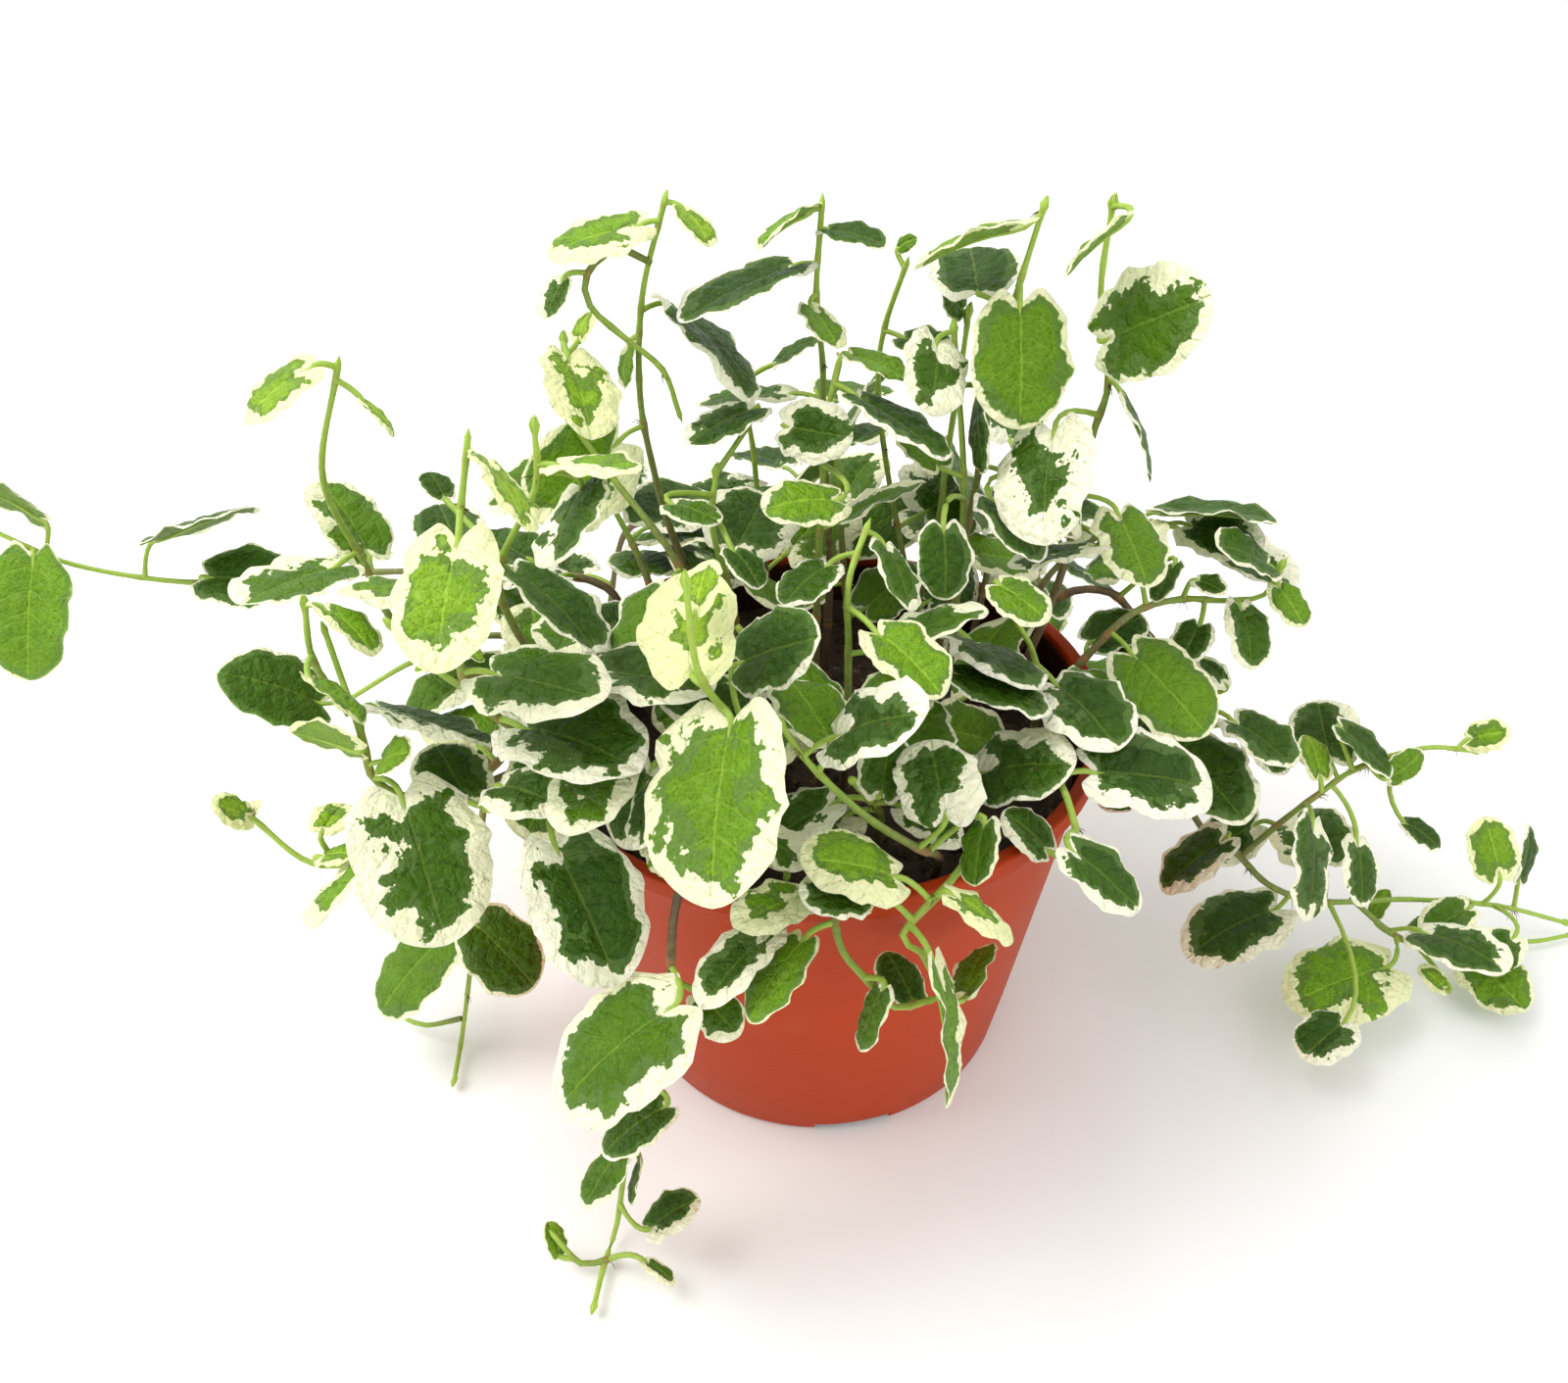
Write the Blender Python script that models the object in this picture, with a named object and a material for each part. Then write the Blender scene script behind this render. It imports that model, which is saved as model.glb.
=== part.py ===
"""A variegated creeping fig in its nursery pot.

The pot, the soil that fills it and every leafy shoot are solids of their own. Each shoot is one body: its
stems, the leaf stalks and the waved, heart-based blades grow together. Lengths are in metres in the scene;
the plan of the plant below is written in millimetres. The origin is on the floor under the pot's middle,
+Z up, and the plant is seen from the -Y side.
"""
import math
import random
from collections import namedtuple

import bmesh
import bpy
from mathutils import Matrix, Vector
from mathutils.bvhtree import BVHTree

MM = 0.001

# The pot: a thin round wall that widens to a rolled rim, on a floor with drain holes.
POT_HEIGHT = 77.0
POT_BASE_RADIUS = 38.5
POT_RIM_RADIUS = 51.6
POT_LIP_RADIUS = 53.0
POT_LIP_HEIGHT = 4.0
POT_WALL = 1.2
POT_FLOOR = 1.6
POT_SIDES = 40
FOOT_NOTCH_HEIGHT = 1.8
FOOT_NOTCH_WIDTH = 15.0
FOOT_NOTCH_DEPTH = 5.0
FOOT_NOTCHES = 4
FOOT_NOTCH_FIRST = -82.0
DRAIN_RADIUS = 4.0
DRAIN_RING_RADIUS = 23.0
DRAIN_HOLES = 4

# The soil: a filling a hair inside the wall, with a rough top and a plain hole for every shoot.
SOIL_TOP = 67.0
SOIL_GAP = 0.35
SOIL_SIDES = 24
SOIL_RINGS = 3
SOIL_BUMP = 1.1
HOLE_GAP = 0.4
HOLE_SIDES = 4
HOLE_FOOT = 54.5

# Shoots: stem thickness, where it starts in the soil, and how close the points of its way lie.
SHOOT_FOOT = 57.0
STEM_RADIUS_FOOT = 1.15
STEM_RADIUS_TIP = 0.75
STEM_SIDES = 4
STEM_STEP = 17.0
BUD_LENGTH = 2.0

# Blades: heart-based, widest a third of the way up, arched along the midrib and waved at the edge.
BLADE_THICKNESS = 0.75
BLADE_LOBE = 0.11
WIDEST = 0.42
STALK_RADIUS = 0.6
LONG_STALK = 11.0
LARGE_BLADE = 23.5
SMALL_BLADE = 17.0
LARGE_STATIONS = (0.0, 0.28, 0.6, 0.88)
MIDDLE_STATIONS = (0.0, 0.4, 0.8)
SMALL_STATIONS = (0.08, 0.64)
LARGE_MIDRIB = (0.3, 0.7)
MIDDLE_MIDRIB = (0.42,)

# What a blade keeps clear of: other shoots, the pot, the soil and the floor.
GUARD = 0.75
FLOOR_GAP = 0.5
CLEAR_OF_SOIL = 1.0
SEED = 20

# Leaves that grow by rule between those placed by hand.
LEAF_SPACING = 9.0
FIRST_LEAF = 14.0
LAST_RULE_SHARE = 0.68
RULE_LENGTH = (15.0, 23.0)
TAKEN_NEAR = 5.0
STALK_SHARE = 0.32

Leaf = namedtuple("Leaf", "shoot base tip turn pale age width arch fold wave phase")

# Every shoot: its ways from the soil to the tips, the number of leaves added by rule, and the leaves placed
# by hand. A leaf is its blade's base, its blade's tip, the turn about its midrib in degrees, how much of the
# left and right half is pale, and its age from 0, a fresh one, to 1, an old dark one.
SHOOTS = {
    "tall_left": {
        "ways": [
            [(-12, 20, 57), (-18, 20, 80), (-25, 20, 100), (-28, 20, 117), (-29, 21, 130), (-27, 20, 147), (-22, 18, 163)],
            [(-25, 19, 153), (-30, 17, 156), (-35, 15, 153), (-35, 14, 148), (-30, 13, 143), (-24, 13, 137), (-22, 14, 129)],
        ],
        "rule": 2,
        "leaves": [
            ((-26, 18, 158), (-41, 14, 155), -10, (0.6, 0.3), 0.2),
            ((-19, 17, 162), (-15, 11, 158), -20, (0.5, 0.1), 0.1),
            ((-39, 15, 152), (-42, 11, 147), 0, (0.1, 0.5), 0.7),
            ((-22, 24, 143), (-10, 8, 133), -35, (0.1, 0.3), 0.8),
            ((-30, 21, 138), (-31, 17, 132), 30, (0.1, 0.5), 0.3),
        ],
    },
    "tall_mid": {
        "ways": [[(2, 20, 57), (4, 22, 90), (3, 22, 120), (3, 22, 133), (2, 21, 146), (3, 20, 161)]],
        "rule": 2,
        "leaves": [
            ((-2, 20, 151), (-20, 8, 147), 10, (0.1, 0.2), 0.9),
            ((1, 20, 160), (-7, 12, 157), 30, (0.3, 0.3), 0.2),
            ((4, 20, 157), (13, 14, 156), 0, (0.1, 0.1), 0.8),
            ((1, 18, 145), (5, 10, 141), -20, (0.4, 0.1), 0.3),
        ],
    },
    "right_tall": {
        "ways": [[(34, 10, 57), (40, 6, 80), (45, 6, 100), (48, 9, 123), (50, 10, 134), (47, 10, 149), (47, 9, 163)]],
        "rule": 0,
        "leaves": [
            ((48, 3, 163), (39, 1, 155), 30, (0.3, 0.3), 0.3),
            ((47, 5, 143), (59, -8, 155), 45, (0.4, 0.2), 0.6),
            ((52, 7, 132), (57, 2, 119), -35, (0.1, 0.1), 0.8),
            ((40, 2, 129), (37, -14, 117), 30, (0.7, 0.7), 0.8),
            ((53, 4, 112), (56, -9, 105), -10, (0.1, 0.3), 0.4),
            ((48, -2, 109), (33, -6, 108), 5, (0.6, 0.6), 0.8),
            ((30, 0, 115), (37, -11, 109), -15, (0.1, 0.1), 0.9),
        ],
    },
    "right_inner": {
        "ways": [[(20, 12, 57), (26, 12, 90), (30, 12, 119), (31, 12, 135), (34, 12, 149), (37, 12, 162)]],
        "rule": 2,
        "leaves": [
            ((34, 9, 148), (34, 1, 130), -10, (0.15, 0.15), 0.4),
            ((28, 14, 148), (29, 33, 149), -5, (0.2, 0.1), 0.9),
            ((34, 10, 160), (17, 9, 154), 20, (0.3, 0.3), 0.2),
        ],
    },
    "back_right": {
        "ways": [
            [(16, 24, 57), (21, 20, 85), (24, 18, 104), (25, 20, 114), (27, 22, 131), (28, 23, 141)],
            [(20, 21, 84), (15, 26, 110), (13, 26, 128), (14, 26, 138), (17, 24, 149)],
        ],
        "rule": 4,
        "leaves": [
            ((16, 25, 147), (19, 24, 149), 50, (0.1, 0.1), 0.5),
            ((17, 23, 137), (24, 16, 137), 10, (0.1, 0.1), 0.8),
            ((27, 25, 141), (23, 21, 146), -50, (0.1, 0.1), 0.6),
        ],
    },
    "left_arch": {
        "ways": [[(-12, 2, 57), (-17, 0, 85), (-23, 0, 107), (-34, 10, 119), (-40, 13, 129), (-40, 14, 142)]],
        "rule": 3,
        "leaves": [
            ((-39, 10, 141), (-35, -2, 132), -25, (0.6, 0.7), 0.1),
            ((-38, 18, 142), (-36, 24, 145), -25, (0.4, 0.4), 0.0),
        ],
    },
    "left_reach": {
        "ways": [
            [(-38, -4, 57), (-50, -5, 81), (-62, -5, 90), (-72, -5, 100), (-75, -5, 113), (-77, -8, 130), (-70, -10, 149)],
        ],
        "rule": 2,
        "leaves": [
            ((-73, -12, 150), (-83, -17, 144), -5, (0.5, 0.4), 0.1),
            ((-67, -11, 147), (-63, -13, 142), -35, (0.2, 0.3), 0.0),
            ((-75, -2, 112), (-84, 8, 121), 35, (0.5, 0.2), 0.5),
        ],
    },
    "left_rise": {
        "ways": [
            [(-30, -26, 57), (-36, -33, 80), (-42, -37, 96), (-51, -43, 114), (-50, -40, 132), (-46, -38, 150)],
            [(-48, -41, 109), (-56, -38, 113), (-62, -36, 120)],
        ],
        "rule": 0,
        "leaves": [
            ((-48, -44, 139), (-50, -59, 128), 5, (0.45, 0.5), 0.2),
            ((-44, -38, 147), (-38, -49, 143), -50, (0.7, 0.6), 0.0),
            ((-53, -45, 122), (-56, -49, 121), 25, (0.1, 0.1), 0.0),
            ((-50, -45, 122), (-47, -49, 121), -40, (0.1, 0.1), 0.0),
            ((-47, -44, 117), (-30, -54, 119), 0, (0.2, 0.3), 0.7),
            ((-44, -44, 107), (-26, -55, 107), 0, (0.2, 0.4), 0.9),
        ],
    },
    "left_mid": {
        "ways": [[(-28, -12, 57), (-40, -16, 85), (-48, -20, 108), (-48, -24, 122), (-41, -23, 135), (-40, -22, 144)]],
        "rule": 2,
        "leaves": [
            ((-57, -14, 129), (-60, -9, 131), 15, (0.1, 0.1), 0.8),
            ((-37, -24, 139), (-25, -31, 141), -10, (0.4, 0.8), 0.2),
            ((-34, -24, 137), (-37, -39, 133), 35, (0.1, 0.6), 0.8),
            ((-46, -25, 122), (-36, -41, 116), -30, (0.15, 0.1), 0.8),
        ],
    },
    "left_front": {
        "ways": [
            [(-22, -26, 57), (-27, -33, 82), (-32, -37, 94), (-33, -39, 103), (-36, -38, 110)],
            [(-30, -36, 88), (-41, -40, 90), (-52, -39, 87)],
        ],
        "rule": 1,
        "leaves": [
            ((-31, -44, 102), (-36, -60, 100), 10, (0.7, 0.6), 0.6),
            ((-33, -36, 108), (-16, -47, 111), 10, (0.15, 0.5), 0.8),
            ((-57, -36, 85), (-64, -24, 87), 20, (0.2, 0.2), 0.8),
            ((-50, -40, 91), (-37, -47, 94), 5, (0.4, 0.4), 0.8),
            ((-50, -43, 83), (-41, -48, 86), 10, (0.4, 0.5), 0.6),
            ((-41, -49, 88), (-32, -63, 72), -10, (0.2, 0.5), 0.9),
        ],
    },
    "left_twigs": {
        "ways": [
            [(-33, -17, 57), (-38, -20, 75), (-47, -25, 84), (-62, -33, 84), (-71, -34, 89), (-72, -33, 98), (-74, -31, 116)],
            [(-73, -33, 102), (-77, -31, 111), (-76, -31, 121)],
        ],
        "rule": 0,
        "leaves": [
            ((-73, -32, 121), (-65, -39, 117), -35, (0.15, 0.4), 0.2),
            ((-76, -36, 111), (-68, -42, 107), -45, (0.1, 0.4), 0.2),
            ((-72, -36, 97), (-82, -32, 100), 40, (0.4, 0.1), 0.2),
            ((-69, -35, 94), (-63, -38, 98), 25, (0.1, 0.1), 0.2),
            ((-72, -24, 95), (-52, -34, 94), -20, (0.1, 0.5), 0.9),
            ((-66, -39, 90), (-56, -53, 73), -35, (0.4, 0.6), 0.7),
        ],
    },
    "left_back": {
        "ways": [[(-38, 10, 57), (-48, 12, 80), (-62, 14, 84), (-76, 12, 80), (-90, 11, 72)]],
        "rule": 3,
        "leaves": [
            ((-95, 10, 72), (-111, 6, 83), -25, (0.0, 0.1), 0.7),
            ((-66, 12, 88), (-70, -2, 95), 15, (0.4, 0.3), 0.8),
        ],
    },
    "left_low": {
        "ways": [[(-35, -10, 57), (-39, -13, 75), (-48, -17, 84), (-57, -22, 80), (-64, -27, 74), (-76, -30, 69), (-88, -29, 67), (-97, -26, 75)]],
        "rule": 2,
        "leaves": [
            ((-97, -27, 76), (-101, -30, 82), -30, (0.7, 0.6), 0.1),
            ((-99, -25, 73), (-98, -20, 74), -20, (0.7, 0.6), 0.0),
            ((-84, -30, 75), (-82, -22, 74), 5, (0.8, 0.7), 0.1),
            ((-84, -33, 72), (-77, -35, 74), -5, (0.2, 0.7), 0.1),
        ],
    },
    "left_fall": {
        "ways": [
            [(-40, 4, 57), (-44, 3, 76), (-51, 2, 84), (-58, 1, 78), (-62, -1, 66), (-67, -4, 42), (-72, -9, 17), (-75, -15, 3), (-75, -25, 2)],
            [(-75, -13, 6), (-83, -12, 3), (-88, -10, 3)],
        ],
        "rule": 1,
        "leaves": [
            ((-76, -9, 26), (-89, -19, 15), 0, (0.1, 0.1), 0.5),
            ((-69, -9, 30), (-57, -9, 16), 20, (0.1, 0.1), 0.7),
        ],
    },
    "far_left": {
        "ways": [[(-29, 23, 57), (-36, 28, 76), (-43, 32, 84), (-66, 36, 85), (-100, 38, 84), (-125, 38, 83), (-148, 38, 88), (-161, 38, 96)]],
        "rule": 3,
        "leaves": [
            ((-154, 35, 92), (-157, 22, 71), 0, (0.0, 0.05), 0.4),
            ((-121, 35, 86), (-102, 31, 85), 20, (0.05, 0.1), 0.8),
            ((-131, 40, 92), (-109, 38, 100), -25, (0.1, 0.1), 0.8),
            ((-153, 41, 97), (-166, 42, 105), 60, (0.1, 0.1), 0.5),
        ],
    },
    "front_tip": {
        "ways": [[(-8, -24, 57), (-9, -32, 80), (-10, -42, 98), (-13, -50, 112), (-17, -52, 122), (-18, -49, 134)]],
        "rule": 0,
        "leaves": [
            ((-13, -53, 114), (-16, -73, 98), 25, (0.35, 0.35), 0.4),
            ((-18, -50, 120), (-18, -36, 128), -15, (0.8, 0.7), 0.0),
            ((-17, -49, 131), (-15, -42, 135), -25, (0.7, 0.5), 0.0),
            ((-12, -35, 111), (0, -42, 120), 40, (0.05, 0.15), 0.8),
        ],
    },
    "front_right": {
        "ways": [[(18, -32, 57), (19, -40, 73), (17, -47, 82), (14, -51, 87), (6, -50, 93), (-2, -46, 100), (-6, -43, 105)]],
        "rule": 0,
        "leaves": [
            ((2, -46, 105), (14, -54, 115), 20, (0.5, 0.3), 0.88),
            ((1, -43, 102), (-5, -30, 104), 15, (0.1, 0.1), 0.4),
            ((18, -50, 92), (17, -35, 95), 0, (0.3, 0.6), 0.8),
            ((24, -50, 89), (22, -58, 84), 45, (0.1, 0.1), 0.6),
        ],
    },
    "centre_front": {
        "ways": [[(4, -16, 57), (5, -20, 85), (5, -23, 105), (5, -22, 116), (8, -16, 122)]],
        "rule": 2,
        "leaves": [
            ((9, -30, 112), (18, -40, 107), 0, (0.25, 0.3), 0.3),
            ((2, -18, 117), (-5, -26, 115), 5, (0.2, 0.1), 0.8),
            ((11, -16, 119), (14, -27, 114), -40, (0.3, 0.1), 0.7),
        ],
    },
    "right_front": {
        "ways": [[(33, -18, 57), (35, -24, 74), (38, -33, 85), (40, -42, 82), (40, -45, 76)]],
        "rule": 1,
        "leaves": [
            ((27, -26, 80), (41, -34, 88), 20, (0.5, 0.1), 0.8),
            ((35, -31, 80), (40, -27, 83), -10, (0.1, 0.1), 0.2),
            ((36, -42, 74), (27, -36, 80), -5, (0.4, 0.1), 0.8),
            ((38, -48, 83), (48, -55, 76), -5, (0.1, 0.5), 0.8),
        ],
    },
    "right_mid": {
        "ways": [[(36, -6, 57), (40, -8, 78), (38, -10, 92), (33, -13, 103)]],
        "rule": 4,
        "leaves": [
            ((30, -14, 110), (37, -21, 107), 10, (0.3, 0.2), 0.4),
            ((27, -21, 101), (25, -28, 99), 0, (0.1, 0.1), 0.2),
        ],
    },
    "front_drop": {
        "ways": [[(24, -32, 57), (25, -38, 74), (24, -47, 84), (18, -56, 84), (11, -61, 79), (14, -61, 75)]],
        "rule": 0,
        "leaves": [
            ((10, -57, 87), (-4, -60, 94), -10, (0.6, 0.3), 0.2),
            ((5, -60, 87), (-4, -65, 91), -10, (0.2, 0.5), 0.8),
            ((18, -60, 86), (27, -64, 80), -35, (0.6, 0.7), 0.1),
            ((15, -66, 79), (16, -80, 64), -72, (0.5, 0.05), 0.4),
            ((22, -57, 60), (27, -48, 62), -45, (0.3, 0.1), 0.5),
        ],
    },
    "hanging": {
        "ways": [[(4, -34, 57), (3, -43, 74), (2, -51, 83), (1, -57, 81), (2, -61, 76), (6, -63, 71), (10, -63, 65), (15, -62, 65)]],
        "rule": 0,
        "leaves": [
            ((-4, -61, 78), (-12, -71, 72), 30, (0.05, 0.1), 0.3),
            ((13, -60, 63), (9, -50, 65), 15, (0.1, 0.1), 0.8),
            ((8, -66, 73), (4, -71, 65), 40, (0.1, 0.2), 0.6),
        ],
    },
    "front_hang": {
        "ways": [[(-6, -39, 57), (-6, -44, 74), (-6, -51, 82), (-8, -57, 79)]],
        "rule": 0,
        "leaves": [
            ((-9, -58, 77), (-19, -69, 73), 20, (0.5, 0.3), 0.8),
            ((-4, -56, 81), (-14, -62, 81), 15, (0.9, 0.9), 0.3),
        ],
    },
    "front_inner": {
        "ways": [[(-20, -34, 57), (-22, -39, 80), (-22, -41, 94), (-21, -42, 103)]],
        "rule": 2,
        "leaves": [
            ((-21, -45, 101), (-27, -59, 96), 40, (0.1, 0.6), 0.8),
            ((-26, -41, 96), (-31, -48, 86), 0, (0.6, 0.2), 0.8),
            ((-26, -45, 85), (-18, -53, 83), -30, (0.8, 0.9), 0.3),
        ],
    },
    "front_trail": {
        "ways": [
            [
                (-18, -38, 57), (-18, -40, 74), (-20, -48, 85), (-23, -57, 81), (-25, -61, 66), (-31, -59, 42),
                (-36, -58, 20), (-39, -60, 4), (-41, -67, 2), (-42, -74, 2),
            ],
            [(-40, -66, 2.5), (-45, -67, 3), (-49, -65, 8)],
        ],
        "rule": 0,
        "leaves": [
            ((-23, -67, 72), (-41, -76, 60), 10, (0.3, 0.3), 0.6),
            ((-20, -62, 68), (-14, -67, 64), 10, (0.2, 0.4), 0.7),
            ((-27, -63, 42), (-39, -65, 39), 15, (0.1, 0.1), 0.8),
            ((-36, -60, 27), (-42, -69, 23), 25, (0.2, 0.2), 0.6),
            ((-33, -61, 24), (-34, -68, 22), 65, (0.1, 0.1), 0.6),
            ((-32, -65, 10), (-23, -62, 14), -5, (0.1, 0.6), 0.8),
            ((-33, -69, 6), (-28, -73, 5), -35, (0.3, 0.5), 0.6),
            ((-49, -66, 6), (-51, -62, 10), 35, (0.1, 0.1), 0.2),
        ],
    },
    "front_low": {
        "ways": [[(10, -24, 57), (10, -32, 76), (8, -37, 84), (5, -40, 91)]],
        "rule": 1,
        "leaves": [
            ((2, -37, 84), (-9, -41, 79), 0, (0.6, 0.3), 0.8),
            ((13, -38, 82), (22, -44, 79), 10, (0.3, 0.5), 0.8),
            ((9, -42, 90), (11, -33, 96), 0, (0.2, 0.2), 0.7),
        ],
    },
    "front_low_left": {
        "ways": [[(-12, -30, 57), (-13, -36, 76), (-14, -42, 84), (-14, -45, 90)]],
        "rule": 1,
        "leaves": [
            ((-17, -44, 84), (-26, -47, 83), 0, (0.7, 0.5), 0.8),
            ((-11, -45, 84), (-3, -50, 81), 10, (0.8, 0.7), 0.6),
        ],
    },
    "back_left": {
        "ways": [[(-6, 32, 57), (-9, 34, 90), (-10, 34, 112), (-12, 34, 124)]],
        "rule": 4,
        "leaves": [((-5, 30, 130), (3, 31, 134), -5, (0.1, 0.1), 0.8)],
    },
    "crown_mid": {
        "ways": [[(0, 6, 57), (1, 6, 95), (2, 6, 115), (3, 7, 130), (5, 8, 139)]],
        "rule": 3,
        "leaves": [
            ((-4, 7, 129), (7, 0, 130), 45, (0.5, 0.4), 0.8),
            ((7, 12, 139), (16, 5, 137), -10, (0.1, 0.1), 0.3),
            ((8, 4, 135), (21, -9, 130), -20, (0.1, 0.2), 0.9),
            ((4, -8, 123), (-8, -14, 125), -15, (0.2, 0.3), 0.3),
        ],
    },
    "crown_right": {
        "ways": [[(24, 0, 57), (25, 0, 90), (26, 2, 110), (26, 6, 122), (24, 11, 143)]],
        "rule": 2,
        "leaves": [
            ((21, 9, 142), (21, -3, 135), -35, (0.7, 0.5), 0.7),
            ((22, 6, 121), (16, 13, 125), 0, (0.2, 0.1), 0.4),
            ((29, 11, 132), (26, -3, 123), 55, (0.1, 0.1), 0.9),
            ((21, -10, 120), (21, -16, 110), -20, (0.1, 0.1), 0.8),
        ],
    },
    "crown_left": {
        "ways": [[(-14, 8, 57), (-14, 8, 90), (-17, 6, 110), (-16, 8, 120)]],
        "rule": 2,
        "leaves": [
            ((-9, 14, 129), (-20, 5, 127), 5, (0.1, 0.4), 0.9),
            ((-22, 13, 128), (-31, 4, 125), -5, (0.1, 0.1), 0.7),
            ((-23, -3, 122), (-15, -8, 121), -5, (0.5, 0.1), 0.6),
            ((-13, -11, 116), (-9, -18, 113), -15, (0.1, 0.1), 0.8),
        ],
    },
    "crown_low": {
        "ways": [[(-4, -6, 57), (-5, -10, 85), (-8, -16, 100), (-12, -22, 108)]],
        "rule": 5,
        "leaves": [],
    },
    "crown_low_right": {
        "ways": [[(14, -10, 57), (16, -14, 82), (17, -19, 97), (18, -24, 106)]],
        "rule": 5,
        "leaves": [],
    },
    "crown_low_left": {
        "ways": [[(-26, 2, 57), (-34, 2, 84), (-41, 0, 100), (-47, -3, 110)]],
        "rule": 6,
        "leaves": [],
    },
    "right_trail": {
        "ways": [
            [
                (35, 16, 57), (41, 17, 76), (48, 17, 87), (57, 16, 88), (63, 16, 81), (71, 12, 71), (74, 6, 58), (75, -2, 46),
                (83, -6, 40), (90, -8, 33), (100, -7, 27), (112, -4, 23), (125, 0, 19), (147, 4, 12), (165, 6, 4),
            ],
            [(110, -4, 24), (118, -6, 17), (126, -5, 11), (140, 0, 6), (156, 2, 2.5), (166, 4, 2)],
            [(84, -6, 39), (92, -4, 47), (98, -2, 51), (106, 1, 55), (119, 3, 58), (130, 4, 56)],
        ],
        "rule": 4,
        "leaves": [
            ((67, 12, 96), (63, 6, 92), 40, (0.1, 0.1), 0.8),
            ((57, 14, 80), (64, 6, 79), 20, (0.1, 0.2), 0.8),
            ((64, 12, 74), (69, 3, 70), 0, (0.4, 0.3), 0.8),
            ((70, 2, 62), (79, -16, 57), 5, (0.1, 0.1), 0.8),
            ((67, 8, 63), (59, 1, 62), -15, (0.1, 0.2), 0.9),
            ((81, 0, 60), (68, -3, 54), 0, (0.1, 0.3), 0.9),
            ((79, -9, 47), (67, -13, 37), 15, (0.4, 0.2), 0.9),
            ((80, 2, 64), (88, -10, 62), -5, (0.1, 0.3), 0.8),
            ((98, -1, 55), (97, 7, 59), 20, (0.2, 0.2), 0.1),
            ((102, 4, 60), (111, -3, 53), -10, (0.1, 0.1), 0.8),
            ((112, 0, 56), (118, 0, 62), 30, (0.1, 0.3), 0.4),
            ((128, 4, 56), (133, 0, 61), 45, (0.3, 0.3), 0.2),
            ((95, -9, 50), (91, -24, 39), -55, (0.4, 0.2), 0.8),
            ((107, -5, 41), (106, -15, 33), -35, (0.3, 0.3), 0.8),
            ((120, 2, 12), (123, 5, 17), -30, (0.1, 0.1), 0.3),
            ((145, 4, 21), (143, 13, 30), -5, (0.2, 0.3), 0.2),
            ((153, 9, 15), (156, 17, 24), 60, (0.3, 0.1), 0.8),
            ((92, -10, 28), (73, -17, 22), 5, (0.3, 0.2), 0.9),
            ((117, -13, 13), (95, -19, 9), -5, (0.5, 0.3), 0.3),
            ((103, -27, 8), (93, -34, 6), 0, (0.5, 0.2), 0.9),
            ((79, 7, 67), (74, 12, 70), 0, (0.4, 0.3), 0.8),
            ((86, 8, 57), (93, 2, 52), 10, (0.3, 0.3), 0.8),
            ((70, 5, 52), (57, 4, 45), 0, (0.1, 0.1), 1.0),
            ((88, -1, 43), (77, -2, 36), -10, (0.5, 0.1), 0.9),
            ((119, 1, 40), (125, -4, 37), 0, (0.1, 0.2), 0.9),
            ((125, -5, 14), (135, -8, 20), 5, (0.1, 0.1), 0.6),
            ((146, -6, 13), (138, -11, 8), -5, (0.4, 0.2), 0.7),
            ((134, -6, 19), (125, -8, 13), -20, (0.3, 0.3), 0.6),
            ((128, -17, 10), (124, -12, 12), 0, (0.4, 0.4), 0.1),
        ],
    },
    "right_high": {
        "ways": [
            [(42, 0, 57), (46, 3, 74), (53, 5, 84), (60, 8, 89), (70, 13, 88), (79, 15, 86), (86, 15, 87), (88, 15, 93)],
        ],
        "rule": 3,
        "leaves": [
            ((86, 16, 93), (74, 12, 100), -15, (0.1, 0.1), 0.7),
            ((88, 14, 91), (91, 6, 87), 0, (0.1, 0.2), 0.3),
            ((81, 13, 86), (81, 2, 79), -20, (0.2, 0.3), 0.7),
            ((72, 13, 92), (76, 8, 92), 15, (0.3, 0.3), 0.8),
            ((73, 10, 84), (68, 2, 81), 0, (0.2, 0.3), 0.9),
        ],
    },
    "back_trail_right": {
        "ways": [[(22, 31, 57), (25, 35, 75), (31, 42, 86), (39, 50, 85), (47, 59, 77), (54, 67, 60), (60, 76, 38), (67, 84, 14), (76, 94, 2.5), (90, 100, 2)]],
        "rule": 9,
        "leaves": [],
    },
    "back_trail_left": {
        "ways": [[(-18, 33, 57), (-21, 37, 75), (-27, 44, 86), (-34, 53, 85), (-40, 61, 77), (-45, 69, 58), (-50, 77, 34), (-54, 85, 12), (-60, 95, 2.5), (-72, 102, 2)]],
        "rule": 9,
        "leaves": [],
    },
    "back_over": {
        "ways": [[(4, 36, 57), (4, 44, 74), (3, 54, 87), (0, 66, 88), (-4, 76, 76), (-6, 82, 62)]],
        "rule": 7,
        "leaves": [],
    },
    "back_up_left": {
        "ways": [[(-24, 14, 57), (-31, 24, 88), (-38, 30, 104), (-43, 32, 114)]],
        "rule": 5,
        "leaves": [],
    },
    "back_up_mid": {
        "ways": [[(9, 28, 57), (7, 36, 90), (6, 41, 106), (3, 43, 117)]],
        "rule": 5,
        "leaves": [],
    },
    "back_up_right": {
        "ways": [[(30, 22, 57), (36, 30, 86), (40, 36, 102), (43, 37, 112)]],
        "rule": 5,
        "leaves": [],
    },
    "back_side_right": {
        "ways": [[(38, 18, 57), (41, 21, 74), (48, 27, 86), (62, 34, 92), (74, 36, 90), (86, 38, 80)]],
        "rule": 6,
        "leaves": [],
    },
}


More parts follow.
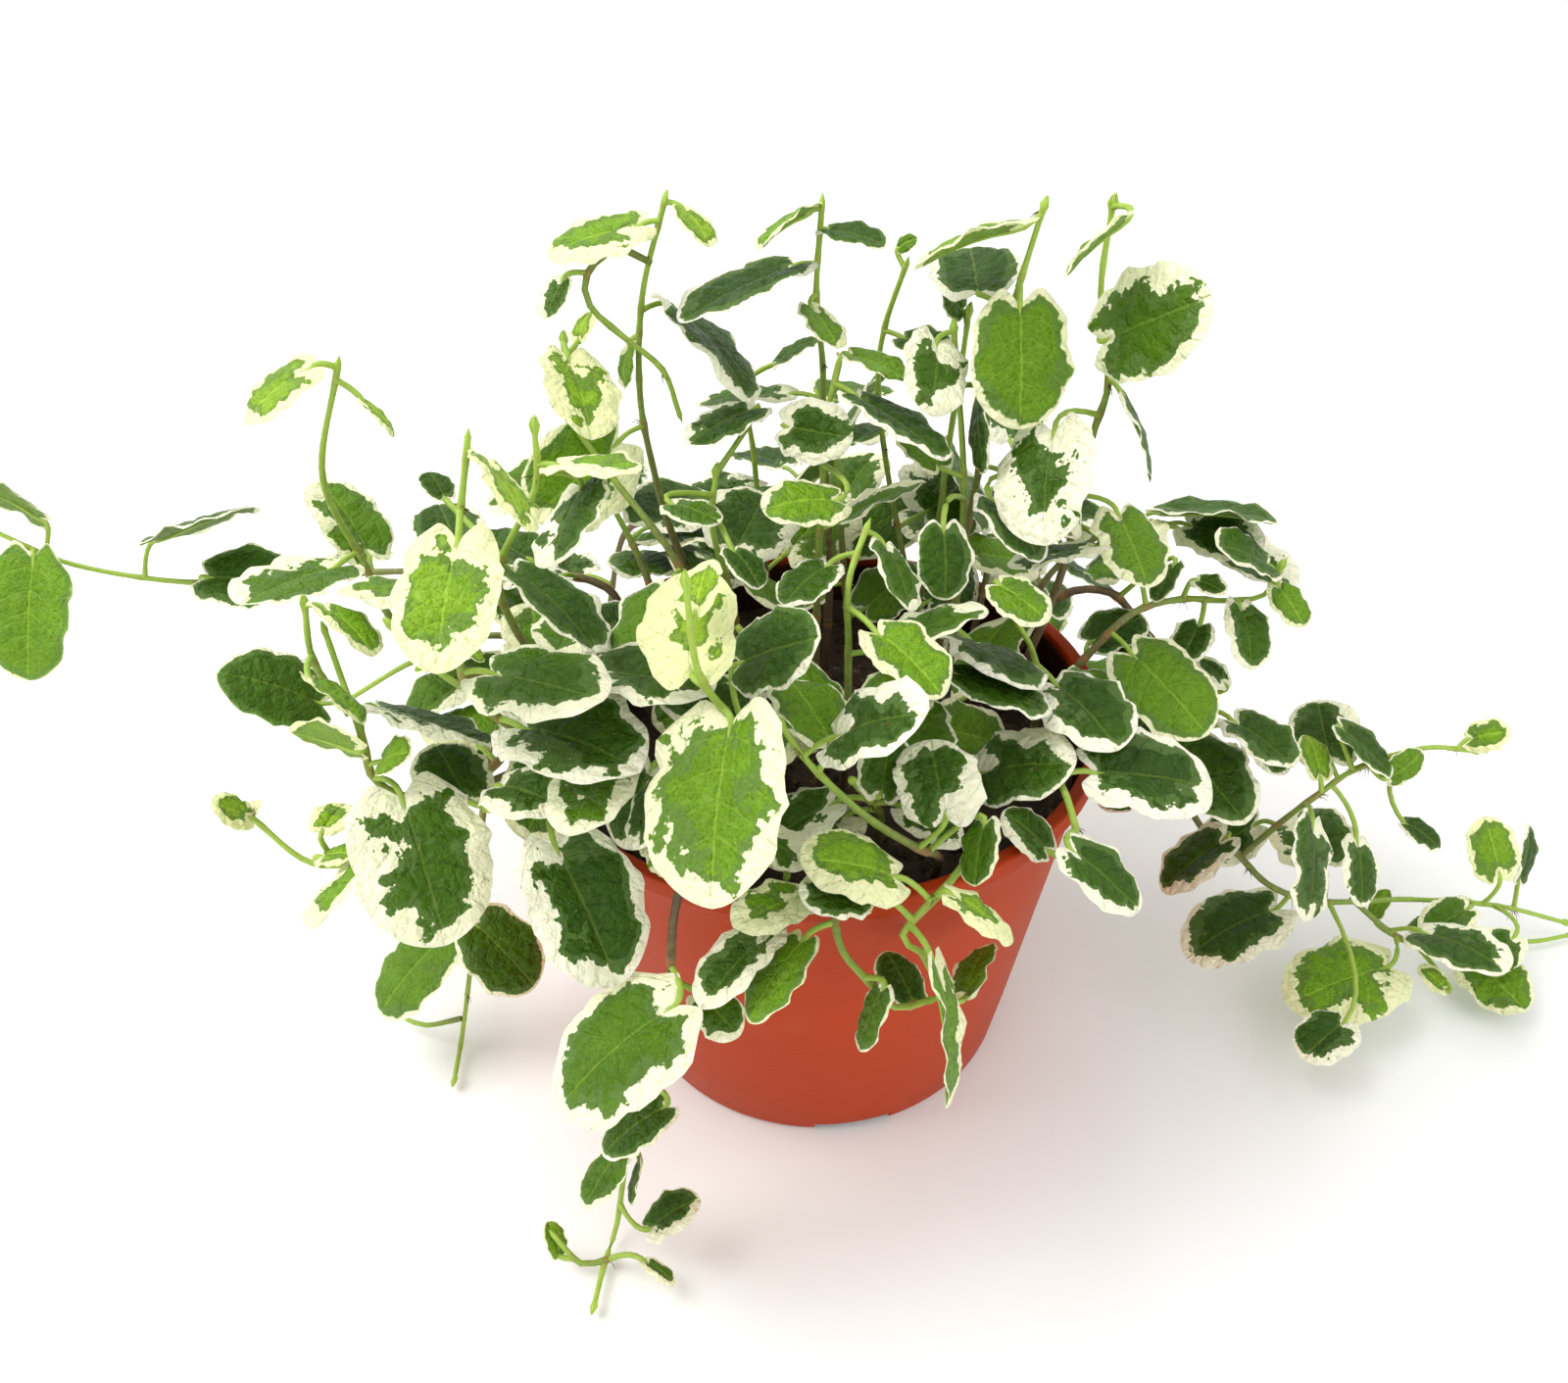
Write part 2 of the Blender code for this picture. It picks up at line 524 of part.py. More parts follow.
def smooth_way(points, step):
    """A smooth curve through the points, with a point about every step."""
    knots = [Vector(point) for point in points]
    knots = [knots[0] * 2 - knots[1]] + knots + [knots[-1] * 2 - knots[-2]]
    way = []
    for before, start, end, after in zip(knots, knots[1:], knots[2:], knots[3:]):
        pieces = max(1, round((end - start).length / step))
        for i in range(pieces):
            t = i / pieces
            way.append(
                0.5 * (2 * start + (end - before) * t + (2 * before - 5 * start + 4 * end - after) * t * t
                       + (3 * start - before - 3 * end + after) * t * t * t)
            )
    way.append(knots[-2])
    return way


def blade_frame(base, tip, turn):
    """The axes of a blade: along its midrib, across it, and out of its upper face."""
    along = (tip - base).normalized()
    up = Vector((0, 0, 1))
    normal = up - along * up.dot(along)
    if normal.length < 0.2:
        normal = Vector((0, -1, 0)) + along * along.y
    normal.normalize()
    normal.rotate(Matrix.Rotation(math.radians(turn), 3, along))
    return along, along.cross(normal), normal


def half_width(s):
    """The half breadth of a heart-based blade as a share of its greatest, s from base to tip."""
    reach = (WIDEST - s) / 0.52 if s < WIDEST else (s - WIDEST) / (1 - WIDEST)
    return max(0.0, 1 - reach ** 2.6) ** 0.6


def blade_point(leaf, s, t):
    """A point of the blade's middle face, s from base to tip and t from its left edge to its right."""
    along, across, normal = blade_frame(leaf.base, leaf.tip, leaf.turn)
    length = (leaf.tip - leaf.base).length
    edge = 1 + 0.06 * math.sin(15 * s + leaf.phase + 2.2 * math.copysign(1, t)) * (1 - s)
    half = 0.5 * length * leaf.width * half_width(s) * edge
    back = BLADE_LOBE * length * abs(t) ** 1.5 * (1 - s) ** 3
    arch = leaf.arch * length * 4 * s * (1 - s)
    fold = leaf.fold * abs(t) * half
    wave = leaf.wave * length * math.sin(11 * s + leaf.phase + (1.7 if t > 0 else 0)) * t * t * (1 - 0.4 * s)
    return leaf.base + along * (s * length - back) + across * (t * half) + normal * (arch + fold + wave)


def nearest_on_ways(ways, point):
    """The place on the shoot's stems that lies nearest to the point, and how far along the way it is."""
    best = None
    for way in ways:
        run = 0.0
        for start, end in zip(way, way[1:]):
            span = end - start
            share = max(0.0, min(1.0, (point - start).dot(span) / span.length_squared))
            place = start + span * share
            gap = (point - place).length
            if best is None or gap < best[0]:
                best = (gap, place, run + share * span.length)
            run += span.length
    return best[1]


def stalk_line(leaf, ways, pieces):
    """The leaf stalk from the stem's middle to the blade's base, which it meets in line with the midrib."""
    along = (leaf.tip - leaf.base).normalized()
    foot = nearest_on_ways(ways, leaf.base - along * 3)
    reach = (leaf.base - foot).length
    bend = leaf.base - along * reach * 0.35 + Vector((0, 0, 1)) * reach * 0.12
    line = []
    for i in range(pieces):
        t = i / pieces
        line.append(foot * (1 - t) ** 2 + bend * 2 * t * (1 - t) + leaf.base * t * t)
    return line


class Shape:
    """Vertices and triangles of one closed body while it is put together."""

    def __init__(self):
        self.points = []
        self.faces = []

    def add(self, point):
        self.points.append(Vector(point))
        return len(self.points) - 1

    def ring(self, centre, direction, radius, sides, upright=Vector((0, 0, 1))):
        """A ring of points round the centre, square to the direction."""
        across = direction.cross(upright)
        if across.length < 0.05:
            across = direction.cross(Vector((0, 1, 0)))
        across.normalize()
        other = direction.cross(across).normalized()
        ring = []
        for i in range(sides):
            angle = 2 * math.pi * i / sides
            ring.append(self.add(centre + (across * math.cos(angle) + other * math.sin(angle)) * radius))
        return ring

    def bridge(self, low, high):
        """Triangles between two rings of the same number of points."""
        for i in range(len(low)):
            j = (i + 1) % len(low)
            self.faces.append((low[i], low[j], high[j]))
            self.faces.append((low[i], high[j], high[i]))

    def fan(self, ring, apex=None):
        """Closes a ring with a point, or flat over its own points."""
        if apex is None:
            for i in range(1, len(ring) - 1):
                self.faces.append((ring[0], ring[i], ring[i + 1]))
        else:
            for i in range(len(ring)):
                self.faces.append((ring[i], ring[(i + 1) % len(ring)], apex))


def stem_shape(way, radius_foot, radius_tip, sides, grow=0.0):
    """A tapered stem along the way, with a pointed bud at its tip."""
    shape = Shape()
    rings = []
    last = len(way) - 1
    for i, point in enumerate(way):
        direction = (way[min(i + 1, last)] - way[max(i - 1, 0)]).normalized()
        radius = radius_foot + (radius_tip - radius_foot) * i / last + grow
        rings.append(shape.ring(point, direction, radius, sides, Vector((0.3, 0.9, 0.1))))
    for low, high in zip(rings, rings[1:]):
        shape.bridge(low, high)
    end = (way[-1] - way[-2]).normalized()
    apex = shape.add(way[-1] + end * (BUD_LENGTH + grow))
    shape.fan(rings[0][::-1])
    shape.fan(rings[-1], apex)
    return shape


def chain_triangles(side, middle):
    """Triangles between a blade's edge and its midrib, two lines of (share, index) that end in one tip."""
    faces = []
    i = j = 0
    while i < len(side) - 1 or j < len(middle) - 1:
        step_side = j == len(middle) - 1 or (i < len(side) - 1 and side[i + 1][0] <= middle[j + 1][0])
        if step_side:
            nxt = side[i + 1][1]
            i += 1
            if nxt != middle[j][1]:
                faces.append((side[i - 1][1], nxt, middle[j][1]))
        else:
            nxt = middle[j + 1][1]
            j += 1
            if nxt != side[i][1]:
                faces.append((side[i][1], nxt, middle[j - 1][1]))
    return faces


def blade_shape(leaf, line, thickness, radius):
    """A leaf: the blade with a flat rim, and its three-sided stalk growing out of the blade's base."""
    shape = Shape()
    along, across, normal = blade_frame(leaf.base, leaf.tip, leaf.turn)
    length = (leaf.tip - leaf.base).length
    stations, midrib = MIDDLE_STATIONS, MIDDLE_MIDRIB
    if length > LARGE_BLADE:
        stations, midrib = LARGE_STATIONS, LARGE_MIDRIB
    elif length < SMALL_BLADE:
        stations = SMALL_STATIONS
    half = normal * thickness * 0.5
    top_left = shape.add(leaf.base + half - across * radius * 0.9)
    top_right = shape.add(leaf.base + half + across * radius * 0.9)
    bottom = shape.add(leaf.base - half - normal * max(0.0, radius - thickness * 0.5))
    faces = {}
    for layer, offset in (("top", half), ("bottom", -half)):
        middle = [(s, shape.add(blade_point(leaf, s, 0.0) + offset)) for s in midrib]
        tip = (1.0, shape.add(blade_point(leaf, 1.0, 0.0) + offset))
        left = [(s, shape.add(blade_point(leaf, s, -1.0) + offset)) for s in stations] + [tip]
        right = [(s, shape.add(blade_point(leaf, s, 1.0) + offset)) for s in stations] + [tip]
        root_left = (0.0, top_left if layer == "top" else bottom)
        root_right = (0.0, top_right if layer == "top" else bottom)
        left_faces = chain_triangles(left, [root_left] + middle + [tip])
        right_faces = chain_triangles(right, [root_right] + middle + [tip])
        if layer == "top":
            shape.faces += [face[::-1] for face in left_faces] + right_faces
            shape.faces.append((top_left, top_right, middle[0][1]))
        else:
            shape.faces += left_faces + [face[::-1] for face in right_faces]
        faces[layer] = (
            [root_left[1]] + [index for _, index in left],
            [root_right[1]] + [index for _, index in right],
        )
    for side, flip in ((0, True), (1, False)):
        upper = faces["top"][side]
        lower = faces["bottom"][side]
        for i in range(len(upper) - 1):
            quad = (upper[i], lower[i], lower[i + 1], upper[i + 1])
            if flip:
                quad = quad[::-1]
            shape.faces.append((quad[0], quad[1], quad[2]))
            shape.faces.append((quad[0], quad[2], quad[3]))
    ring = [top_left, top_right, bottom]
    offsets = [shape.points[index] - leaf.base for index in ring]
    heading = along.copy()
    for place, before in zip(line[::-1], [leaf.base] + line[::-1]):
        turned = (before - place).normalized()
        spin = heading.rotation_difference(turned)
        offsets = [spin @ offset for offset in offsets]
        heading = turned
        nxt = [shape.add(place + offset) for offset in offsets]
        for i in range(3):
            j = (i + 1) % 3
            shape.faces.append((ring[j], ring[i], nxt[i]))
            shape.faces.append((ring[j], nxt[i], nxt[j]))
        ring = nxt
    shape.faces.append((ring[2], ring[1], ring[0]))
    return shape


class Guard:
    """Keeps blades clear of one another, of the stems, the pot, the soil and the floor."""

    def __init__(self):
        self.kept = []

    def box_of(self, points):
        low = Vector((min(p.x for p in points), min(p.y for p in points), min(p.z for p in points)))
        high = Vector((max(p.x for p in points), max(p.y for p in points), max(p.z for p in points)))
        return low, high

    def keep(self, shoot, kind, shape):
        low, high = self.box_of(shape.points)
        tree = BVHTree.FromPolygons(shape.points, shape.faces)
        self.kept.append((shoot, kind, low, high, tree))

    def clear(self, shoot, shape, blade):
        """Whether the leaf is clear of all else; its own stems need be clear of the blade only."""
        for point in shape.points:
            if point.z < FLOOR_GAP:
                return False
            if math.hypot(point.x, point.y) < POT_RIM_RADIUS and point.z < SOIL_TOP + SOIL_BUMP + CLEAR_OF_SOIL:
                return False
        low, high = self.box_of(shape.points)
        whole = BVHTree.FromPolygons(shape.points, shape.faces)
        alone = BVHTree.FromPolygons(blade.points, blade.faces)
        for other, kind, other_low, other_high, other_tree in self.kept:
            if any(low[k] > other_high[k] or high[k] < other_low[k] for k in range(3)):
                continue
            tree = alone if other == shoot and kind == "stem" else whole
            if tree.overlap(other_tree):
                return False
        return True


def pot_profile(grow=0.0):
    """The pot's wall as (radius, height) pairs, round the outside and back down the inside."""
    lip_foot = POT_HEIGHT - POT_LIP_HEIGHT
    neck = POT_BASE_RADIUS + (POT_RIM_RADIUS - POT_BASE_RADIUS) * lip_foot / POT_HEIGHT
    return [
        (POT_BASE_RADIUS + grow, -grow),
        (neck + grow, lip_foot - grow),
        (POT_LIP_RADIUS + grow, lip_foot + 0.6 - grow),
        (POT_LIP_RADIUS + grow, POT_HEIGHT + grow),
        (POT_RIM_RADIUS - POT_WALL - grow, POT_HEIGHT + grow),
        (POT_BASE_RADIUS - POT_WALL - grow, POT_FLOOR),
    ]


def turned_shape(profile, sides):
    """A closed ring-shaped body: the profile turned round the Z axis."""
    shape = Shape()
    columns = []
    for i in range(sides):
        angle = 2 * math.pi * i / sides
        columns.append([shape.add((r * math.cos(angle), r * math.sin(angle), z)) for r, z in profile])
    for i in range(sides):
        near = columns[i]
        far = columns[(i + 1) % sides]
        for j in range(len(profile)):
            k = (j + 1) % len(profile)
            shape.faces.append((near[j], far[j], far[k]))
            shape.faces.append((near[j], far[k], near[k]))
    return shape


def adjustments():
    """Small changes that clear a blade, the smallest first: lift, swing, turn and shrink."""
    tries = []
    for lift in (0.0, 1.5, -1.5, 3.0, -3.0, 5.0, 7.5):
        for swing in (0, 12, -12, 25, -25):
            for turn in (0, 15, -15, 30, -30, 50, -50):
                for size in (1.0, 0.88, 0.76):
                    cost = abs(lift) / 2 + abs(swing) / 14 + abs(turn) / 20 + (1 - size) * 9
                    tries.append((cost, lift, swing, turn, size))
    tries.sort(key=lambda item: item[0])
    return [item[1:] for item in tries if item[0] < 5.2]


def adjusted(leaf, lift, swing, turn, size):
    """The leaf lifted in mm, swung about the vertical, turned about its midrib and shrunk."""
    base = leaf.base + Vector((0, 0, lift))
    reach = (leaf.tip - leaf.base) * size
    reach.rotate(Matrix.Rotation(math.radians(swing), 3, "Z"))
    return leaf._replace(base=base, tip=base + reach, turn=leaf.turn + turn)


def stalk_pieces(leaf, ways):
    along = (leaf.tip - leaf.base).normalized()
    foot = nearest_on_ways(ways, leaf.base - along * 3)
    return 2 if (leaf.base - foot).length > LONG_STALK else 1


def place_leaf(leaf, ways, guard, tries):
    """The first change of the leaf that is clear of all that is there, or None."""
    for change in tries:
        moved = adjusted(leaf, *change)
        line = stalk_line(moved, ways, stalk_pieces(moved, ways))
        shape = blade_shape(moved, line, BLADE_THICKNESS + GUARD, STALK_RADIUS + GUARD * 0.5)
        blade = blade_shape(moved, [], BLADE_THICKNESS, STALK_RADIUS)
        if guard.clear(leaf.shoot, shape, blade):
            kept = blade_shape(moved, line, BLADE_THICKNESS, STALK_RADIUS)
            guard.keep(leaf.shoot, "leaf", kept)
            return moved
    return None


def drawn_leaf(shoot, base, tip, turn, pale, age, chance):
    """A leaf with its own breadth, arch, fold and wave."""
    return Leaf(
        shoot, Vector(base), Vector(tip), turn, pale, age,
        width=chance.uniform(0.78, 0.9), arch=chance.uniform(0.03, 0.09), fold=chance.uniform(-0.05, 0.2),
        wave=chance.uniform(0.015, 0.035), phase=chance.uniform(0, 6.28),
    )


def rule_leaves(name, ways, count, share, chance):
    """Leaves by rule: spread along the stems, on alternating sides, the longest low down."""
    places = []
    for way in ways:
        run = 0.0
        goal = FIRST_LEAF
        length = sum((end - start).length for start, end in zip(way, way[1:]))
        for start, end in zip(way, way[1:]):
            span = (end - start).length
            while goal <= min(run + span, length * share):
                places.append((start + (end - start) * ((goal - run) / span), (end - start).normalized()))
                goal += LEAF_SPACING
            run += span
    leaves = []
    chance.shuffle(places)
    for i, (place, direction) in enumerate(places[: count * 2]):
        outward = Vector((place.x, place.y, 0))
        outward = outward.normalized() if outward.length > 1 else Vector((1, 0, 0))
        side = direction.cross(Vector((0, 0, 1)))
        side = side.normalized() if side.length > 0.2 else outward.cross(Vector((0, 0, 1)))
        sign = 1 if i % 2 else -1
        heading = side * sign * chance.uniform(0.5, 1.0) + outward * chance.uniform(0.1, 0.9)
        heading.z = 0
        heading = heading.normalized() + Vector((0, 0, chance.uniform(-0.55, 0.35)))
        heading.normalize()
        length = chance.uniform(*RULE_LENGTH)
        base = place + heading * length * STALK_SHARE + Vector((0, 0, 2.0))
        if base.z < 6:
            base.z = 6
            heading.z = max(heading.z, 0.0)
            heading.normalize()
        tip = base + heading * length
        pale = (chance.choice((0.1, 0.1, 0.2, 0.4, 0.6)), chance.choice((0.1, 0.1, 0.3, 0.5)))
        leaves.append(drawn_leaf(name, base, tip, chance.uniform(-25, 25), pale, chance.uniform(0.3, 1.0), chance))
    return leaves


def plan_plant():
    """All stems and leaves in their final places: {shoot: (ways, leaves)}."""
    guard = Guard()
    guard.keep("pot", "pot", turned_shape(pot_profile(0.4), 36))
    tries = adjustments()
    ways = {}
    leaves = {}
    for name, shoot in SHOOTS.items():
        ways[name] = [smooth_way(points, STEM_STEP) for points in shoot["ways"]]
        leaves[name] = []
        for way in ways[name]:
            guard.keep(name, "stem", stem_shape(way, STEM_RADIUS_FOOT, STEM_RADIUS_TIP, STEM_SIDES, 0.2))
    for name, shoot in SHOOTS.items():
        chance = random.Random(SEED + len(leaves) + sum(map(ord, name)))
        for base, tip, turn, pale, age in shoot["leaves"]:
            leaf = place_leaf(drawn_leaf(name, base, tip, turn, pale, age, chance), ways[name], guard, tries)
            if leaf:
                leaves[name].append(leaf)
    for name, shoot in SHOOTS.items():
        chance = random.Random(SEED * 3 + sum(map(ord, name)))
        added = 0
        share = LAST_RULE_SHARE if shoot["leaves"] else 1.0
        for leaf in rule_leaves(name, ways[name], shoot["rule"], share, chance):
            taken = any((leaf.base - other.base).length < TAKEN_NEAR for other in leaves[name])
            if added < shoot["rule"] and not taken:
                leaf = place_leaf(leaf, ways[name], guard, tries)
                if leaf:
                    leaves[name].append(leaf)
                    added += 1
    return {name: (ways[name], leaves[name]) for name in SHOOTS}


def paint(name, color, roughness):
    """A plain coloured material."""
    material = bpy.data.materials.new(name)
    material.use_nodes = True
    shader = material.node_tree.nodes["Principled BSDF"]
    shader.inputs["Base Color"].default_value = (*color, 1.0)
    shader.inputs["Roughness"].default_value = roughness
    shader.inputs["Metallic"].default_value = 0.0
    return material


def make_object(name, shape, material=None):
    """A mesh object from a shape in millimetres."""
    mesh = bpy.data.meshes.new(name)
    mesh.from_pydata([point * MM for point in shape.points], [], shape.faces)
    mesh.validate()
    thing = bpy.data.objects.new(name, mesh)
    bpy.context.scene.collection.objects.link(thing)
    if material:
        mesh.materials.append(material)
    return thing


def join_or_cut(thing, others, operation, solver="MANIFOLD"):
    """Applies one Boolean between the object and a collection of others, which then goes."""
    group = bpy.data.collections.new(thing.name + "_tools")
    bpy.context.scene.collection.children.link(group)
    for other in others:
        bpy.context.scene.collection.objects.unlink(other)
        group.objects.link(other)
    boolean = thing.modifiers.new("boolean", "BOOLEAN")
    boolean.operation = operation
    boolean.operand_type = "COLLECTION"
    boolean.collection = group
    boolean.solver = solver
    evaluated = thing.evaluated_get(bpy.context.evaluated_depsgraph_get())
    mesh = bpy.data.meshes.new_from_object(evaluated)
    thing.modifiers.clear()
    thing.data = mesh
    for other in others:
        bpy.data.objects.remove(other, do_unlink=True)
    bpy.data.collections.remove(group)


def keep_main_body(thing):
    """Drops loose scraps and inner shells, and leaves one outward-facing body of triangles."""
    work = bmesh.new()
    work.from_mesh(thing.data)
    bmesh.ops.triangulate(work, faces=work.faces)
    unseen = set(work.faces)
    bodies = []
    while unseen:
        stack = [unseen.pop()]
        body = set(stack)
        while stack:
            face = stack.pop()
            for edge in face.edges:
                for other in edge.link_faces:
                    if other in unseen:
                        unseen.discard(other)
                        body.add(other)
                        stack.append(other)
        bodies.append(body)
    bodies.sort(key=len, reverse=True)
    scraps = [face for body in bodies[1:] for face in body]
    bmesh.ops.delete(work, geom=scraps, context="FACES")
    work.to_mesh(thing.data)
    work.free()


def make_pot():
    """The pot with its drain holes and the shallow notches under its foot."""
    pot = make_object("pot", pot_shape(), paint("pot", (0.45, 0.06, 0.022), 0.4))
    tools = []
    for i in range(FOOT_NOTCHES):
        angle = math.radians(FOOT_NOTCH_FIRST + 360 * i / FOOT_NOTCHES)
        tools.append(notch_cutter(angle))
    for i in range(DRAIN_HOLES):
        angle = 2 * math.pi * (i + 0.5) / DRAIN_HOLES
        tools.append(drain_cutter(angle))
    join_or_cut(pot, tools, "DIFFERENCE")
    keep_main_body(pot)
    pot.data.shade_smooth()
    pot.data.set_sharp_from_angle(angle=math.radians(35))
    return pot


def pot_shape():
    """The pot's body: wall, lip and floor, closed over the middle."""
    shape = Shape()
    profile = pot_profile()
    rings = []
    for radius, height in profile:
        ring = []
        for i in range(POT_SIDES):
            angle = 2 * math.pi * i / POT_SIDES
            ring.append(shape.add((radius * math.cos(angle), radius * math.sin(angle), height)))
        rings.append(ring)
    for low, high in zip(rings, rings[1:]):
        shape.bridge(low, high)
    under = shape.add((0, 0, profile[0][1]))
    inside = shape.add((0, 0, profile[-1][1]))
    shape.fan(rings[0][::-1], under)
    shape.fan(rings[-1], inside)
    return shape


def notch_cutter(angle):
    """A flat box that lifts a stretch of the pot's bottom edge off the floor."""
    shape = Shape()
    across = Vector((-math.sin(angle), math.cos(angle), 0))
    out = Vector((math.cos(angle), math.sin(angle), 0))
    rings = []
    for reach in (POT_BASE_RADIUS - FOOT_NOTCH_DEPTH, POT_BASE_RADIUS + FOOT_NOTCH_DEPTH):
        ring = []
        for side, height in ((-1, -2.0), (1, -2.0), (1, FOOT_NOTCH_HEIGHT), (-1, FOOT_NOTCH_HEIGHT)):
            point = out * reach + across * side * FOOT_NOTCH_WIDTH * 0.5
            ring.append(shape.add((point.x, point.y, height)))
        rings.append(ring)
    shape.bridge(rings[0], rings[1])
    shape.fan(rings[0][::-1])
    shape.fan(rings[1])
    return make_object("cutter", shape)


def drain_cutter(angle):
    """A round bar that makes one drain hole in the pot's floor."""
    shape = Shape()
    centre = Vector((math.cos(angle), math.sin(angle), 0)) * DRAIN_RING_RADIUS
    up = Vector((0, 0, 1))
    low = shape.ring(centre - up * 2, up, DRAIN_RADIUS, 12, Vector((0, 1, 0)))
    high = shape.ring(centre + up * (POT_FLOOR + 2), up, DRAIN_RADIUS, 12, Vector((0, 1, 0)))
    shape.bridge(low, high)
    shape.fan(low[::-1])
    shape.fan(high)
    return make_object("cutter", shape)


def wall_inside(height):
    """The radius of the pot's inner wall at a height."""
    share = (height - POT_FLOOR) / (POT_HEIGHT - POT_FLOOR)
    foot = POT_BASE_RADIUS - POT_WALL
    return foot + (POT_RIM_RADIUS - POT_WALL - foot) * share


def make_soil(plant):
    """The soil: it fills the pot to just under the rim, rough on top, with a hole for each shoot."""
    shape = Shape()
    chance = random.Random(SEED)
    foot_height = POT_FLOOR + SOIL_GAP
    rings = []
    steps = [(wall_inside(foot_height) - SOIL_GAP, foot_height), (wall_inside(SOIL_TOP) - SOIL_GAP, SOIL_TOP)]
    top_radius = steps[-1][0]
    for i in range(1, SOIL_RINGS):
        steps.append((top_radius * (1 - i / SOIL_RINGS), SOIL_TOP))
    for k, (radius, height) in enumerate(steps):
        ring = []
        for i in range(SOIL_SIDES):
            angle = 2 * math.pi * i / SOIL_SIDES
            bump = chance.uniform(-1, 1) * SOIL_BUMP if k > 1 else 0.0
            ring.append(shape.add((radius * math.cos(angle), radius * math.sin(angle), height + bump)))
        rings.append(ring)
    for low, high in zip(rings, rings[1:]):
        shape.bridge(low, high)
    shape.fan(rings[0][::-1])
    shape.fan(rings[-1], shape.add((0, 0, SOIL_TOP + SOIL_BUMP)))
    soil = make_object("soil", shape, paint("soil", (0.035, 0.022, 0.015), 0.95))
    cutters = [hole_cutter(ways[0]) for ways, _ in plant.values()]
    join_or_cut(soil, cutters, "DIFFERENCE")
    keep_main_body(soil)
    return soil


def hole_cutter(way):
    """A straight bar a little thicker than the stem, from its foot up out of the soil."""
    shape = Shape()
    line = (way[1] - way[0]).normalized()
    radius = STEM_RADIUS_FOOT + HOLE_GAP
    for point in way:
        if point.z > SOIL_TOP + SOIL_BUMP + 1:
            line = (point - way[0]).normalized()
            break
    start = way[0] + line * ((HOLE_FOOT - way[0].z) / line.z)
    end = way[0] + line * ((SOIL_TOP + 6 - way[0].z) / line.z)
    low = shape.ring(start, line, radius, HOLE_SIDES, Vector((0.3, 0.9, 0.1)))
    high = shape.ring(end, line, radius, HOLE_SIDES, Vector((0.3, 0.9, 0.1)))
    shape.bridge(low, high)
    shape.fan(low[::-1])
    shape.fan(high)
    return make_object("cutter", shape)


def make_shoot(name, ways, leaves):
    """One shoot: its stems, stalks and blades joined into a single body."""
    stems = [stem_shape(way, STEM_RADIUS_FOOT, STEM_RADIUS_TIP, STEM_SIDES) for way in ways]
    thing = make_object("shoot_" + name, stems[0], paint("shoot_" + name, (0.1, 0.24, 0.03), 0.5))
    parts = [make_object("part", stem) for stem in stems[1:]]
    for leaf in leaves:
        line = stalk_line(leaf, ways, stalk_pieces(leaf, ways))
        parts.append(make_object("part", blade_shape(leaf, line, BLADE_THICKNESS, STALK_RADIUS)))
    join_or_cut(thing, parts, "UNION")
    keep_main_body(thing)
    return thing


def main():
    for thing in list(bpy.data.objects):
        bpy.data.objects.remove(thing, do_unlink=True)
    plant = plan_plant()
    make_pot()
    make_soil(plant)
    for name, (ways, leaves) in plant.items():
        make_shoot(name, ways, leaves)


main()
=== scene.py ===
"""The looks of a variegated creeping fig in its nursery pot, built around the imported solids.

The plan of the plant is the one that the solids follow, repeated here in millimetres. From it every shoot
gets a finer body with thin, puckered blades, stalks that run on as midribs, swollen nodes, ring scars,
rootlets and hairs. The pot and the soil get a finer body too. All else in the scene is in metres.
"""
import math
import random
from collections import namedtuple
from functools import cached_property
from itertools import product, repeat

import bpy
import numpy as np
from mathutils import Euler, Matrix, Vector, noise
from mathutils.bvhtree import BVHTree


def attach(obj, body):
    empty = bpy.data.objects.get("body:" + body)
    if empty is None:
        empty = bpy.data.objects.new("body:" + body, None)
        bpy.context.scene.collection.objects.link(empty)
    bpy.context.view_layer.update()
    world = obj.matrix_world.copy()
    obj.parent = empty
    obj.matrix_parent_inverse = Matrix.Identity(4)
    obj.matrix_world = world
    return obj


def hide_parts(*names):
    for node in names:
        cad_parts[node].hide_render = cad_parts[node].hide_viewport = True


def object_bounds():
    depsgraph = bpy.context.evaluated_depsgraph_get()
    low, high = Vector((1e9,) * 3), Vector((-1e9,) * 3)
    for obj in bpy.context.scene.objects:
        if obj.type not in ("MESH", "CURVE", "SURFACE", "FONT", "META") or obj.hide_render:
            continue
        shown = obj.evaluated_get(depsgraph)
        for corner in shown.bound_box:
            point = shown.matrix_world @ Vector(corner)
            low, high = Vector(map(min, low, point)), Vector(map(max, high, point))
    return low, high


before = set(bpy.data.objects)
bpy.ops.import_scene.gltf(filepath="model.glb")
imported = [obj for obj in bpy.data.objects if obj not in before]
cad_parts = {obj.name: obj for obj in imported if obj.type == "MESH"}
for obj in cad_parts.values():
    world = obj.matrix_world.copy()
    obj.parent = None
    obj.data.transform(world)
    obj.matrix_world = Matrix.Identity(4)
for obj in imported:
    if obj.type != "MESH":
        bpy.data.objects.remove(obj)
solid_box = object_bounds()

MM = 0.001
TURN = 2 * math.pi
UP = Vector((0, 0, 1))
STEM_UPRIGHT = Vector((0.3, 0.9, 0.1))

